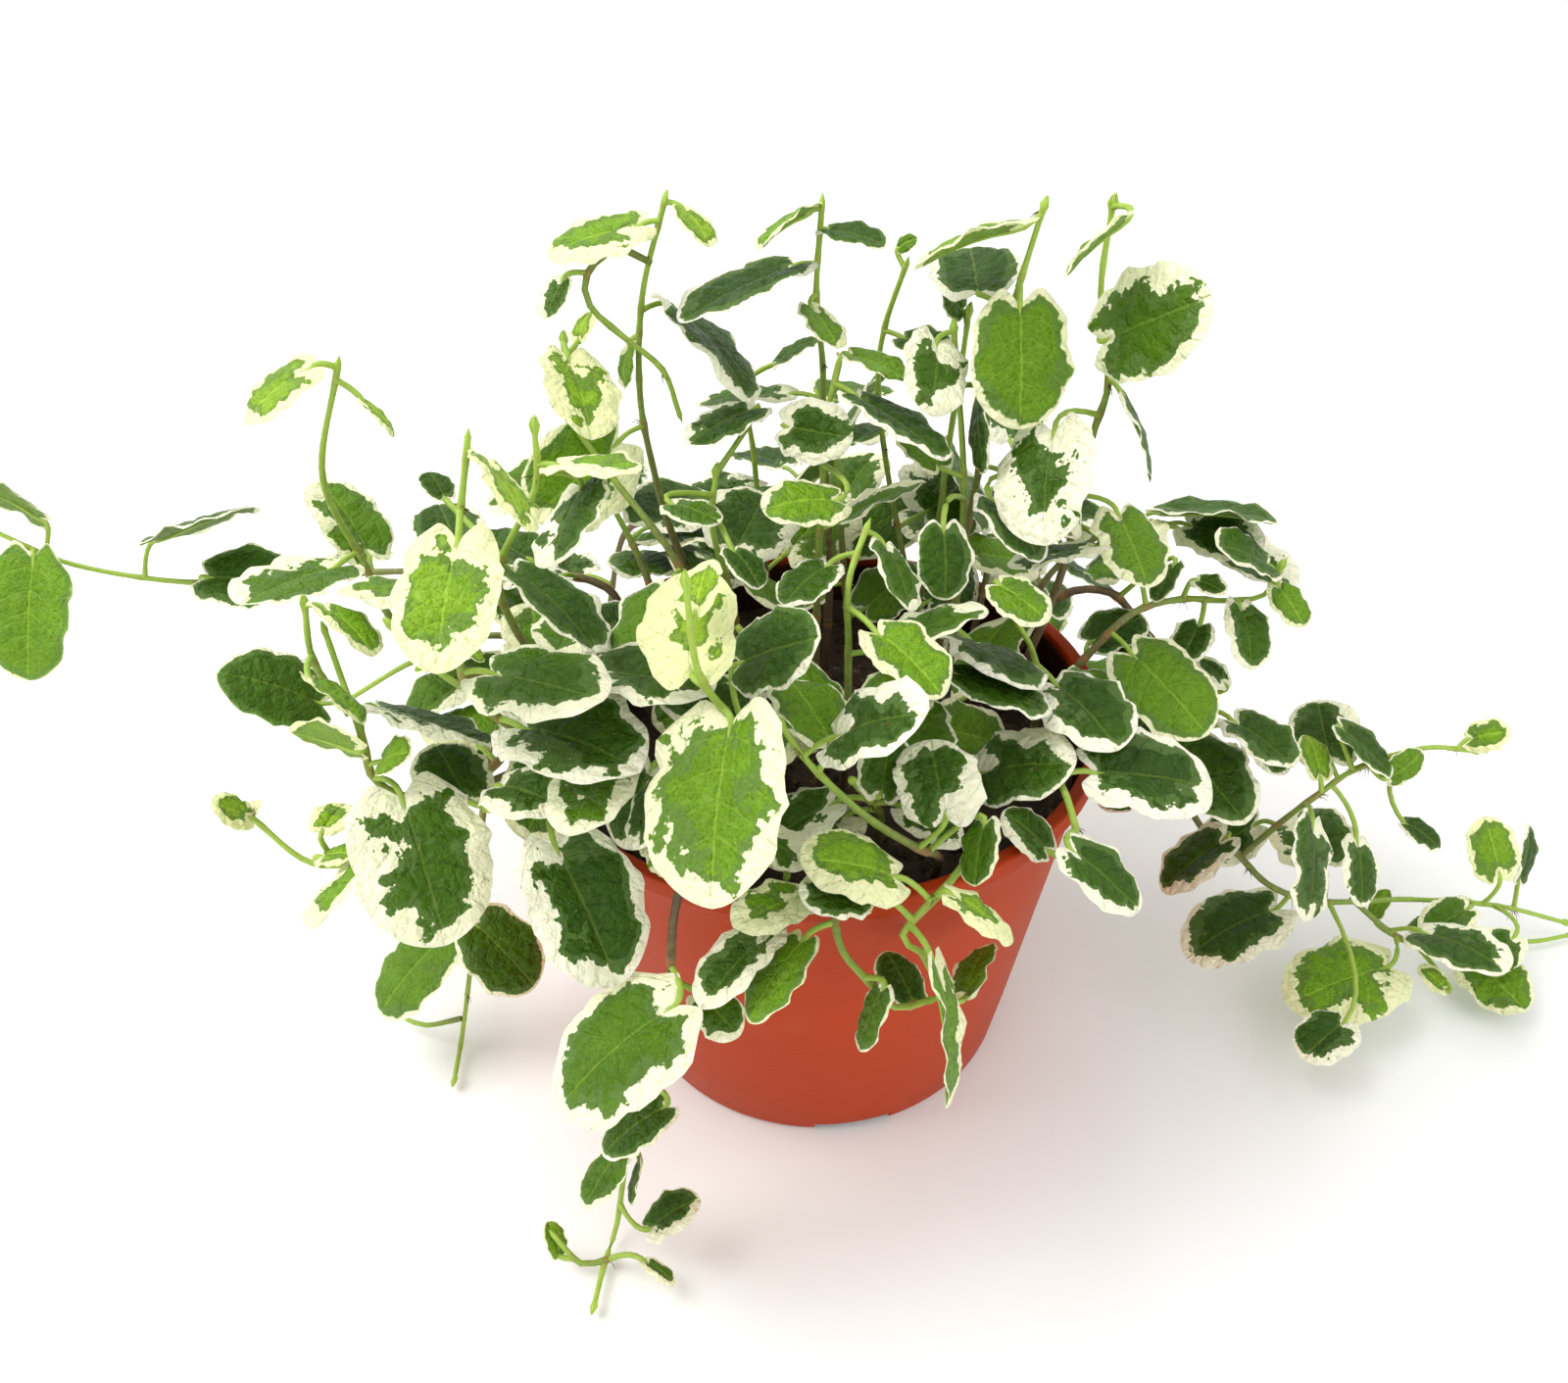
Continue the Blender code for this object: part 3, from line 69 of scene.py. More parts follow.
# The pot: a thin round wall that widens to a rolled rim, on a floor with drain holes.
POT_HEIGHT = 77.0
POT_BASE_RADIUS = 38.5
POT_RIM_RADIUS = 51.6
POT_LIP_RADIUS = 53.0
POT_LIP_HEIGHT = 4.0
POT_WALL = 1.2
POT_FLOOR = 1.6
POT_SIDES = 120
FOOT_ROUNDING = 1.0
LIP_ROUNDING = 0.6
RIM_ROUNDING = 0.5
FLOOR_ROUNDING = 1.2
FOOT_NOTCH_HEIGHT = 1.8
FOOT_NOTCH_WIDTH = 15.0
FOOT_NOTCH_DEPTH = 5.0
FOOT_NOTCHES = 4
FOOT_NOTCH_FIRST = -82.0
DRAIN_RADIUS = 4.0
DRAIN_RING_RADIUS = 23.0
DRAIN_HOLES = 4
DRAIN_SIDES = 32
OUTER_HEIGHTS = (12.0, 30.0, 50.0, 66.0)
INNER_HEIGHTS = (66.0, 40.0, 15.0)
CUT_BEYOND = 2.0
POT_SHARP = 40

# The soil: a filling a hair inside the wall, with a rough top and loose crumbs. A layer of its roughness has
# a number of its own, a scale and a share of the height.
SOIL_TOP = 67.0
SOIL_SUNK = 0.2
SOIL_GAP = 0.35
SOIL_SHOULDER = 4
SOIL_RINGS = 26
SOIL_SPOKES = 84
SOIL_ROUGHNESS = 1.5
SOIL_LAYERS = ((0, 0.16, 0.8), (7, 0.5, 0.5), (19, 1.4, 0.25))
CRUMBS = 620
CRUMB_MARGIN = 1.6
CRUMB_SIZE = (0.35, 1.5)
CRUMB_SIDES = 5
CRUMB_RINGS = ((-0.62, 0.75), (0.05, 1.0), (0.66, 0.7))
CRUMB_SQUASH = ((0.55, 1.0),) * 3
CRUMB_JAGS = (0.8, 1.15)
CRUMB_ENDS = (-0.9, 0.95)
CRUMB_RISE = 0.3

# The stems of the plan: their thickness, how close the points of a way lie, and the bud at the tip.
STEM_RADIUS_FOOT = 1.15
STEM_RADIUS_TIP = 0.75
STEM_SIDES = 4
STEM_STEP = 17.0
BUD_LENGTH = 2.0

# The blades of the plan: heart-based, widest below the middle, arched along the midrib, waved at the edge.
# Large, middling and small blades have their points at different shares of their length.
BLADE_THICKNESS = 0.75
BLADE_LOBE = 0.11
WIDEST = 0.42
FOOT_REACH = 0.52
EDGE_SWING = 0.06
STALK_RADIUS = 0.6
LONG_STALK = 11.0
STALK_BACK = 0.35
STALK_RISE = 0.12
FOOT_BEHIND = 3
LARGE_BLADE = 23.5
SMALL_BLADE = 17.0
LARGE_STATIONS = (0.0, 0.28, 0.6, 0.88)
MIDDLE_STATIONS = (0.0, 0.4, 0.8)
SMALL_STATIONS = (0.08, 0.64)
LARGE_MIDRIB = (0.3, 0.7)
MIDDLE_MIDRIB = (0.42,)

# What a blade keeps clear of, and the changes that are tried to clear it: lifts in mm, swings and turns in
# degrees, and sizes.
GUARD = 0.75
STEM_GUARD = 0.2
POT_GUARD = 0.4
POT_GUARD_SIDES = 36
FLOOR_GAP = 0.5
CLEAR_OF_SOIL = 2.1
LIFTS = (0.0, 1.5, -1.5, 3.0, -3.0, 5.0, 7.5)
SWINGS = (0, 12, -12, 25, -25)
TURNS = (0, 15, -15, 30, -30, 50, -50)
SIZES = (1.0, 0.88, 0.76)
GREATEST_CHANGE = 5.2

# The spans that a leaf's width, arch, fold, wave and phase are drawn from.
SEED = 20
PHASES = (0, 6.28)
LEAF_SPANS = ((0.78, 0.9), (0.03, 0.09), (-0.05, 0.2), (0.015, 0.035), PHASES)

# Leaves that grow by rule between those that are listed.
LEAF_SPACING = 9.0
FIRST_LEAF = 14.0
LAST_RULE_SHARE = 0.68
TAKEN_NEAR = 5.0
STALK_SHARE = 0.32
RULE_LENGTH = (15.0, 23.0)
RULE_ASIDE = (0.5, 1.0)
RULE_OUTWARD = (0.1, 0.9)
RULE_RISE = (-0.55, 0.35)
RULE_LIFT = Vector((0, 0, 2.0))
RULE_LOWEST = 6
RULE_TURN = (-25, 25)
RULE_AGE = (0.3, 1.0)
LEFT_PALES = (0.1, 0.1, 0.2, 0.4, 0.6)
RIGHT_PALES = (0.1, 0.1, 0.3, 0.5)

# Fine blades: how finely they are cut up, how thick they are, and how the side veins run and pucker them.
BLADE_ROWS = 20
BLADE_COLUMNS = 7
ROW_SPREAD = 1.5
FINE_THICKNESS = 0.45
EDGE_TAPER = 5
PALE_BLEND = 4
SIDE_VEINS = 5.6
VEIN_SLANT = 0.32
PUCKER = 0.026
BLISTER = 0.016
BLISTER_SCALE = 0.34
LOBE_REACH = 0.125
MIDRIB_GROOVE = 0.016
GROOVE_WIDTH = 0.09
EDGE_RIPPLE = 0.022
EDGE_CURL = 0.02
EDGE_TEETH = 0.038
LEAF_SHARP = 70

# Fine stems and stalks, with the swellings where leaves stand or stood.
STEM_RUN = 2.2
OWN_NUMBERS = (0, 400)
FINE_FOOT_RADIUS = 0.95
FINE_TIP_RADIUS = 0.52
TWIG_RADIUS = 0.66
TWIG_WOOD = 0.5
FINE_SIDES = 8
NODE_SPACING = 11.0
NODES_APART = 6.6
NODE_FREE_TIP = 3
NODE_SWELL = 0.2
BETWEEN_NODES = 0.9
STEM_UNEVEN = 0.05
NODE_REACH = 1.1
WOODINESS = (0.8, 1.1)
FINE_BUD = 2.3
COLLAR_SHARE = 0.35
BUD_AGE = -0.4
BRACT_TURN = (0, 3.1)
BRACT_RADII = (0.2, 0.42, 0.05)
BRACT_SIDES = 4
STALK_SIDES = 6
STALK_POINTS = 6
STALK_AGE = 0.12
STALK_SUNK = 0.1
MIDRIB_SUNK = 0.25
MIDRIB_SHARES = (0.12, 0.28, 0.46, 0.66)
STALK_RADII = (0.62,) + (0.5,) * (STALK_POINTS - 1) + (0.46, 0.36, 0.28, 0.2, 0.08)
HAIR_LENGTH = (0.35, 0.8)
HAIR_RADIUS = 0.035
HAIR_SIDES = 3
HAIR_ROOT = 0.1
HAIR_AGE = 0.1
HAIRS_PER_RING = 2
HAIR_LEAN = ((-0.5, 0.5), (-0.5, 0.5), (-0.3, 0.7))
ROOTLET_SHARE = 0.3
ROOTLETS = (3, 7)
ROOTLET_SIDES = 3
ROOTLET_AGE = 1.0
ROOTLET_LOWEST = 0.3
ROOTLET_LENGTH = (1.0, 2.8)
ROOTLET_RADII = (0.09, 0.072, 0.0225)
ROOTLET_SIDE = ((-1, 1), (-1, 0.4), (-1, 0.2))
ROOTLET_SPREAD = ((-0.6, 0.6),) * 3

# The order of a shoot's materials.
UPPER, LOWER, STEM, ROOT = range(4)

# Colours of the foliage. The greens run from a fresh blade to an old one.
GREENS = (
    (0.0, (0.28, 0.45, 0.020)),
    (0.22, (0.165, 0.33, 0.008)),
    (0.45, (0.115, 0.245, 0.005)),
    (0.65, (0.064, 0.150, 0.004)),
    (0.82, (0.042, 0.105, 0.003)),
    (1.0, (0.028, 0.076, 0.003)),
)
STEM_COLORS = (
    (0.0, (0.34, 0.50, 0.06)),
    (0.28, (0.23, 0.34, 0.04)),
    (0.5, (0.17, 0.18, 0.04)),
    (0.72, (0.12, 0.075, 0.03)),
    (1.0, (0.07, 0.036, 0.018)),
)
GREY_GREEN = (0.115, 0.20, 0.045)
CREAM_YOUNG = (0.86, 0.90, 0.44)
CREAM_OLD = (0.93, 0.92, 0.72)
CREAM_VEIN = (0.62, 0.70, 0.33)
UNDERSIDE = (0.24, 0.34, 0.10)
SPOT_BROWN = (0.16, 0.075, 0.02)

# The camera of the photograph, the floor, and the light: a bright window to the upper left, a weak fill and
# an even white surround. A light is its place, its size, its power and its colour.
CAMERA_PLACE = (-0.0055, -0.20205, 0.23126)
CAMERA_DOWN = 37.0
CAMERA_ROLL = -1.8
CAMERA_LENS = 31.5
CAMERA_SENSOR = 36.0
FLOOR_SIZE = 6.0
FLOOR_DROP = 0.0002
LIGHTS = {
    "window": ((-0.75, 0.05, 1.15), 0.9, 13.5, (1.0, 0.99, 0.97)),
    "fill": ((0.8, -0.9, 0.9), 1.2, 4.0, (0.98, 0.98, 1.0)),
}
LIGHT_TARGET = Vector((0.0, 0.0, 0.08))
SURROUND = 0.94

# Every shoot: its ways from the soil to the tips, the number of leaves added by rule, and the leaves placed
# one by one. A leaf is its blade's base, its blade's tip, the turn about its midrib in degrees, how much of
# the left and right half is pale, and its age from 0, a fresh one, to 1, an old dark one.
SHOOTS = {
    "tall_left": {
        "ways": [
            [(-12, 20, 57), (-18, 20, 80), (-25, 20, 100), (-28, 20, 117), (-29, 21, 130), (-27, 20, 147),
             (-22, 18, 163)],
            [(-25, 19, 153), (-30, 17, 156), (-35, 15, 153), (-35, 14, 148), (-30, 13, 143),
             (-24, 13, 137), (-22, 14, 129)],
        ],
        "rule": 2,
        "leaves": [
            ((-26, 18, 158), (-41, 14, 155), -10, (0.6, 0.3), 0.2),
            ((-19, 17, 162), (-15, 11, 158), -20, (0.5, 0.1), 0.1),
            ((-39, 15, 152), (-42, 11, 147), 0, (0.1, 0.5), 0.7),
            ((-22, 24, 143), (-10, 8, 133), -35, (0.1, 0.3), 0.8),
            ((-30, 21, 138), (-31, 17, 132), 30, (0.1, 0.5), 0.3),
        ],
    },
    "tall_mid": {
        "ways": [[(2, 20, 57), (4, 22, 90), (3, 22, 120), (3, 22, 133), (2, 21, 146), (3, 20, 161)]],
        "rule": 2,
        "leaves": [
            ((-2, 20, 151), (-20, 8, 147), 10, (0.1, 0.2), 0.9),
            ((1, 20, 160), (-7, 12, 157), 30, (0.3, 0.3), 0.2),
            ((4, 20, 157), (13, 14, 156), 0, (0.1, 0.1), 0.8),
            ((1, 18, 145), (5, 10, 141), -20, (0.4, 0.1), 0.3),
        ],
    },
    "right_tall": {
        "ways": [[(34, 10, 57), (40, 6, 80), (45, 6, 100), (48, 9, 123), (50, 10, 134), (47, 10, 149),
                  (47, 9, 163)]],
        "rule": 0,
        "leaves": [
            ((48, 3, 163), (39, 1, 155), 30, (0.3, 0.3), 0.3),
            ((47, 5, 143), (59, -8, 155), 45, (0.4, 0.2), 0.6),
            ((52, 7, 132), (57, 2, 119), -35, (0.1, 0.1), 0.8),
            ((40, 2, 129), (37, -14, 117), 30, (0.7, 0.7), 0.8),
            ((53, 4, 112), (56, -9, 105), -10, (0.1, 0.3), 0.4),
            ((48, -2, 109), (33, -6, 108), 5, (0.6, 0.6), 0.8),
            ((30, 0, 115), (37, -11, 109), -15, (0.1, 0.1), 0.9),
        ],
    },
    "right_inner": {
        "ways": [[(20, 12, 57), (26, 12, 90), (30, 12, 119), (31, 12, 135), (34, 12, 149), (37, 12, 162)]],
        "rule": 2,
        "leaves": [
            ((34, 9, 148), (34, 1, 130), -10, (0.15, 0.15), 0.4),
            ((28, 14, 148), (29, 33, 149), -5, (0.2, 0.1), 0.9),
            ((34, 10, 160), (17, 9, 154), 20, (0.3, 0.3), 0.2),
        ],
    },
    "back_right": {
        "ways": [
            [(16, 24, 57), (21, 20, 85), (24, 18, 104), (25, 20, 114), (27, 22, 131), (28, 23, 141)],
            [(20, 21, 84), (15, 26, 110), (13, 26, 128), (14, 26, 138), (17, 24, 149)],
        ],
        "rule": 4,
        "leaves": [
            ((16, 25, 147), (19, 24, 149), 50, (0.1, 0.1), 0.5),
            ((17, 23, 137), (24, 16, 137), 10, (0.1, 0.1), 0.8),
            ((27, 25, 141), (23, 21, 146), -50, (0.1, 0.1), 0.6),
        ],
    },
    "left_arch": {
        "ways": [[(-12, 2, 57), (-17, 0, 85), (-23, 0, 107), (-34, 10, 119), (-40, 13, 129),
                  (-40, 14, 142)]],
        "rule": 3,
        "leaves": [
            ((-39, 10, 141), (-35, -2, 132), -25, (0.6, 0.7), 0.1),
            ((-38, 18, 142), (-36, 24, 145), -25, (0.4, 0.4), 0.0),
        ],
    },
    "left_reach": {
        "ways": [
            [(-38, -4, 57), (-50, -5, 81), (-62, -5, 90), (-72, -5, 100), (-75, -5, 113), (-77, -8, 130),
             (-70, -10, 149)],
        ],
        "rule": 2,
        "leaves": [
            ((-73, -12, 150), (-83, -17, 144), -5, (0.5, 0.4), 0.1),
            ((-67, -11, 147), (-63, -13, 142), -35, (0.2, 0.3), 0.0),
            ((-75, -2, 112), (-84, 8, 121), 35, (0.5, 0.2), 0.5),
        ],
    },
    "left_rise": {
        "ways": [
            [(-30, -26, 57), (-36, -33, 80), (-42, -37, 96), (-51, -43, 114), (-50, -40, 132),
             (-46, -38, 150)],
            [(-48, -41, 109), (-56, -38, 113), (-62, -36, 120)],
        ],
        "rule": 0,
        "leaves": [
            ((-48, -44, 139), (-50, -59, 128), 5, (0.45, 0.5), 0.2),
            ((-44, -38, 147), (-38, -49, 143), -50, (0.7, 0.6), 0.0),
            ((-53, -45, 122), (-56, -49, 121), 25, (0.1, 0.1), 0.0),
            ((-50, -45, 122), (-47, -49, 121), -40, (0.1, 0.1), 0.0),
            ((-47, -44, 117), (-30, -54, 119), 0, (0.2, 0.3), 0.7),
            ((-44, -44, 107), (-26, -55, 107), 0, (0.2, 0.4), 0.9),
        ],
    },
    "left_mid": {
        "ways": [[(-28, -12, 57), (-40, -16, 85), (-48, -20, 108), (-48, -24, 122), (-41, -23, 135),
                  (-40, -22, 144)]],
        "rule": 2,
        "leaves": [
            ((-57, -14, 129), (-60, -9, 131), 15, (0.1, 0.1), 0.8),
            ((-37, -24, 139), (-25, -31, 141), -10, (0.4, 0.8), 0.2),
            ((-34, -24, 137), (-37, -39, 133), 35, (0.1, 0.6), 0.8),
            ((-46, -25, 122), (-36, -41, 116), -30, (0.15, 0.1), 0.8),
        ],
    },
    "left_front": {
        "ways": [
            [(-22, -26, 57), (-27, -33, 82), (-32, -37, 94), (-33, -39, 103), (-36, -38, 110)],
            [(-30, -36, 88), (-41, -40, 90), (-52, -39, 87)],
        ],
        "rule": 1,
        "leaves": [
            ((-31, -44, 102), (-36, -60, 100), 10, (0.7, 0.6), 0.6),
            ((-33, -36, 108), (-16, -47, 111), 10, (0.15, 0.5), 0.8),
            ((-57, -36, 85), (-64, -24, 87), 20, (0.2, 0.2), 0.8),
            ((-50, -40, 91), (-37, -47, 94), 5, (0.4, 0.4), 0.8),
            ((-50, -43, 83), (-41, -48, 86), 10, (0.4, 0.5), 0.6),
            ((-41, -49, 88), (-32, -63, 72), -10, (0.2, 0.5), 0.9),
        ],
    },
    "left_twigs": {
        "ways": [
            [(-33, -17, 57), (-38, -20, 75), (-47, -25, 84), (-62, -33, 84), (-71, -34, 89),
             (-72, -33, 98), (-74, -31, 116)],
            [(-73, -33, 102), (-77, -31, 111), (-76, -31, 121)],
        ],
        "rule": 0,
        "leaves": [
            ((-73, -32, 121), (-65, -39, 117), -35, (0.15, 0.4), 0.2),
            ((-76, -36, 111), (-68, -42, 107), -45, (0.1, 0.4), 0.2),
            ((-72, -36, 97), (-82, -32, 100), 40, (0.4, 0.1), 0.2),
            ((-69, -35, 94), (-63, -38, 98), 25, (0.1, 0.1), 0.2),
            ((-72, -24, 95), (-52, -34, 94), -20, (0.1, 0.5), 0.9),
            ((-66, -39, 90), (-56, -53, 73), -35, (0.4, 0.6), 0.7),
        ],
    },
    "left_back": {
        "ways": [[(-38, 10, 57), (-48, 12, 80), (-62, 14, 84), (-76, 12, 80), (-90, 11, 72)]],
        "rule": 3,
        "leaves": [
            ((-95, 10, 72), (-111, 6, 83), -25, (0.0, 0.1), 0.7),
            ((-66, 12, 88), (-70, -2, 95), 15, (0.4, 0.3), 0.8),
        ],
    },
    "left_low": {
        "ways": [[(-35, -10, 57), (-39, -13, 75), (-48, -17, 84), (-57, -22, 80), (-64, -27, 74),
                  (-76, -30, 69), (-88, -29, 67), (-97, -26, 75)]],
        "rule": 2,
        "leaves": [
            ((-97, -27, 76), (-101, -30, 82), -30, (0.7, 0.6), 0.1),
            ((-99, -25, 73), (-98, -20, 74), -20, (0.7, 0.6), 0.0),
            ((-84, -30, 75), (-82, -22, 74), 5, (0.8, 0.7), 0.1),
            ((-84, -33, 72), (-77, -35, 74), -5, (0.2, 0.7), 0.1),
        ],
    },
    "left_fall": {
        "ways": [
            [(-40, 4, 57), (-44, 3, 76), (-51, 2, 84), (-58, 1, 78), (-62, -1, 66), (-67, -4, 42),
             (-72, -9, 17), (-75, -15, 3), (-75, -25, 2)],
            [(-75, -13, 6), (-83, -12, 3), (-88, -10, 3)],
        ],
        "rule": 1,
        "leaves": [
            ((-76, -9, 26), (-89, -19, 15), 0, (0.1, 0.1), 0.5),
            ((-69, -9, 30), (-57, -9, 16), 20, (0.1, 0.1), 0.7),
        ],
    },
    "far_left": {
        "ways": [[(-29, 23, 57), (-36, 28, 76), (-43, 32, 84), (-66, 36, 85), (-100, 38, 84),
                  (-125, 38, 83), (-148, 38, 88), (-161, 38, 96)]],
        "rule": 3,
        "leaves": [
            ((-154, 35, 92), (-157, 22, 71), 0, (0.0, 0.05), 0.4),
            ((-121, 35, 86), (-102, 31, 85), 20, (0.05, 0.1), 0.8),
            ((-131, 40, 92), (-109, 38, 100), -25, (0.1, 0.1), 0.8),
            ((-153, 41, 97), (-166, 42, 105), 60, (0.1, 0.1), 0.5),
        ],
    },
    "front_tip": {
        "ways": [[(-8, -24, 57), (-9, -32, 80), (-10, -42, 98), (-13, -50, 112), (-17, -52, 122),
                  (-18, -49, 134)]],
        "rule": 0,
        "leaves": [
            ((-13, -53, 114), (-16, -73, 98), 25, (0.35, 0.35), 0.4),
            ((-18, -50, 120), (-18, -36, 128), -15, (0.8, 0.7), 0.0),
            ((-17, -49, 131), (-15, -42, 135), -25, (0.7, 0.5), 0.0),
            ((-12, -35, 111), (0, -42, 120), 40, (0.05, 0.15), 0.8),
        ],
    },
    "front_right": {
        "ways": [[(18, -32, 57), (19, -40, 73), (17, -47, 82), (14, -51, 87), (6, -50, 93),
                  (-2, -46, 100), (-6, -43, 105)]],
        "rule": 0,
        "leaves": [
            ((2, -46, 105), (14, -54, 115), 20, (0.5, 0.3), 0.88),
            ((1, -43, 102), (-5, -30, 104), 15, (0.1, 0.1), 0.4),
            ((18, -50, 92), (17, -35, 95), 0, (0.3, 0.6), 0.8),
            ((24, -50, 89), (22, -58, 84), 45, (0.1, 0.1), 0.6),
        ],
    },
    "centre_front": {
        "ways": [[(4, -16, 57), (5, -20, 85), (5, -23, 105), (5, -22, 116), (8, -16, 122)]],
        "rule": 2,
        "leaves": [
            ((9, -30, 112), (18, -40, 107), 0, (0.25, 0.3), 0.3),
            ((2, -18, 117), (-5, -26, 115), 5, (0.2, 0.1), 0.8),
            ((11, -16, 119), (14, -27, 114), -40, (0.3, 0.1), 0.7),
        ],
    },
    "right_front": {
        "ways": [[(33, -18, 57), (35, -24, 74), (38, -33, 85), (40, -42, 82), (40, -45, 76)]],
        "rule": 1,
        "leaves": [
            ((27, -26, 80), (41, -34, 88), 20, (0.5, 0.1), 0.8),
            ((35, -31, 80), (40, -27, 83), -10, (0.1, 0.1), 0.2),
            ((36, -42, 74), (27, -36, 80), -5, (0.4, 0.1), 0.8),
            ((38, -48, 83), (48, -55, 76), -5, (0.1, 0.5), 0.8),
        ],
    },
    "right_mid": {
        "ways": [[(36, -6, 57), (40, -8, 78), (38, -10, 92), (33, -13, 103)]],
        "rule": 4,
        "leaves": [
            ((30, -14, 110), (37, -21, 107), 10, (0.3, 0.2), 0.4),
            ((27, -21, 101), (25, -28, 99), 0, (0.1, 0.1), 0.2),
        ],
    },
    "front_drop": {
        "ways": [[(24, -32, 57), (25, -38, 74), (24, -47, 84), (18, -56, 84), (11, -61, 79),
                  (14, -61, 75)]],
        "rule": 0,
        "leaves": [
            ((10, -57, 87), (-4, -60, 94), -10, (0.6, 0.3), 0.2),
            ((5, -60, 87), (-4, -65, 91), -10, (0.2, 0.5), 0.8),
            ((18, -60, 86), (27, -64, 80), -35, (0.6, 0.7), 0.1),
            ((15, -66, 79), (16, -80, 64), -72, (0.5, 0.05), 0.4),
            ((22, -57, 60), (27, -48, 62), -45, (0.3, 0.1), 0.5),
        ],
    },
    "hanging": {
        "ways": [[(4, -34, 57), (3, -43, 74), (2, -51, 83), (1, -57, 81), (2, -61, 76), (6, -63, 71),
                  (10, -63, 65), (15, -62, 65)]],
        "rule": 0,
        "leaves": [
            ((-4, -61, 78), (-12, -71, 72), 30, (0.05, 0.1), 0.3),
            ((13, -60, 63), (9, -50, 65), 15, (0.1, 0.1), 0.8),
            ((8, -66, 73), (4, -71, 65), 40, (0.1, 0.2), 0.6),
        ],
    },
    "front_hang": {
        "ways": [[(-6, -39, 57), (-6, -44, 74), (-6, -51, 82), (-8, -57, 79)]],
        "rule": 0,
        "leaves": [
            ((-9, -58, 77), (-19, -69, 73), 20, (0.5, 0.3), 0.8),
            ((-4, -56, 81), (-14, -62, 81), 15, (0.9, 0.9), 0.3),
        ],
    },
    "front_inner": {
        "ways": [[(-20, -34, 57), (-22, -39, 80), (-22, -41, 94), (-21, -42, 103)]],
        "rule": 2,
        "leaves": [
            ((-21, -45, 101), (-27, -59, 96), 40, (0.1, 0.6), 0.8),
            ((-26, -41, 96), (-31, -48, 86), 0, (0.6, 0.2), 0.8),
            ((-26, -45, 85), (-18, -53, 83), -30, (0.8, 0.9), 0.3),
        ],
    },
    "front_trail": {
        "ways": [
            [
                (-18, -38, 57), (-18, -40, 74), (-20, -48, 85), (-23, -57, 81), (-25, -61, 66),
                (-31, -59, 42),
                (-36, -58, 20), (-39, -60, 4), (-41, -67, 2), (-42, -74, 2),
            ],
            [(-40, -66, 2.5), (-45, -67, 3), (-49, -65, 8)],
        ],
        "rule": 0,
        "leaves": [
            ((-23, -67, 72), (-41, -76, 60), 10, (0.3, 0.3), 0.6),
            ((-20, -62, 68), (-14, -67, 64), 10, (0.2, 0.4), 0.7),
            ((-27, -63, 42), (-39, -65, 39), 15, (0.1, 0.1), 0.8),
            ((-36, -60, 27), (-42, -69, 23), 25, (0.2, 0.2), 0.6),
            ((-33, -61, 24), (-34, -68, 22), 65, (0.1, 0.1), 0.6),
            ((-32, -65, 10), (-23, -62, 14), -5, (0.1, 0.6), 0.8),
            ((-33, -69, 6), (-28, -73, 5), -35, (0.3, 0.5), 0.6),
            ((-49, -66, 6), (-51, -62, 10), 35, (0.1, 0.1), 0.2),
        ],
    },
    "front_low": {
        "ways": [[(10, -24, 57), (10, -32, 76), (8, -37, 84), (5, -40, 91)]],
        "rule": 1,
        "leaves": [
            ((2, -37, 84), (-9, -41, 79), 0, (0.6, 0.3), 0.8),
            ((13, -38, 82), (22, -44, 79), 10, (0.3, 0.5), 0.8),
            ((9, -42, 90), (11, -33, 96), 0, (0.2, 0.2), 0.7),
        ],
    },
    "front_low_left": {
        "ways": [[(-12, -30, 57), (-13, -36, 76), (-14, -42, 84), (-14, -45, 90)]],
        "rule": 1,
        "leaves": [
            ((-17, -44, 84), (-26, -47, 83), 0, (0.7, 0.5), 0.8),
            ((-11, -45, 84), (-3, -50, 81), 10, (0.8, 0.7), 0.6),
        ],
    },
    "back_left": {
        "ways": [[(-6, 32, 57), (-9, 34, 90), (-10, 34, 112), (-12, 34, 124)]],
        "rule": 4,
        "leaves": [((-5, 30, 130), (3, 31, 134), -5, (0.1, 0.1), 0.8)],
    },
    "crown_mid": {
        "ways": [[(0, 6, 57), (1, 6, 95), (2, 6, 115), (3, 7, 130), (5, 8, 139)]],
        "rule": 3,
        "leaves": [
            ((-4, 7, 129), (7, 0, 130), 45, (0.5, 0.4), 0.8),
            ((7, 12, 139), (16, 5, 137), -10, (0.1, 0.1), 0.3),
            ((8, 4, 135), (21, -9, 130), -20, (0.1, 0.2), 0.9),
            ((4, -8, 123), (-8, -14, 125), -15, (0.2, 0.3), 0.3),
        ],
    },
    "crown_right": {
        "ways": [[(24, 0, 57), (25, 0, 90), (26, 2, 110), (26, 6, 122), (24, 11, 143)]],
        "rule": 2,
        "leaves": [
            ((21, 9, 142), (21, -3, 135), -35, (0.7, 0.5), 0.7),
            ((22, 6, 121), (16, 13, 125), 0, (0.2, 0.1), 0.4),
            ((29, 11, 132), (26, -3, 123), 55, (0.1, 0.1), 0.9),
            ((21, -10, 120), (21, -16, 110), -20, (0.1, 0.1), 0.8),
        ],
    },
    "crown_left": {
        "ways": [[(-14, 8, 57), (-14, 8, 90), (-17, 6, 110), (-16, 8, 120)]],
        "rule": 2,
        "leaves": [
            ((-9, 14, 129), (-20, 5, 127), 5, (0.1, 0.4), 0.9),
            ((-22, 13, 128), (-31, 4, 125), -5, (0.1, 0.1), 0.7),
            ((-23, -3, 122), (-15, -8, 121), -5, (0.5, 0.1), 0.6),
            ((-13, -11, 116), (-9, -18, 113), -15, (0.1, 0.1), 0.8),
        ],
    },
    "crown_low": {
        "ways": [[(-4, -6, 57), (-5, -10, 85), (-8, -16, 100), (-12, -22, 108)]],
        "rule": 5,
        "leaves": [],
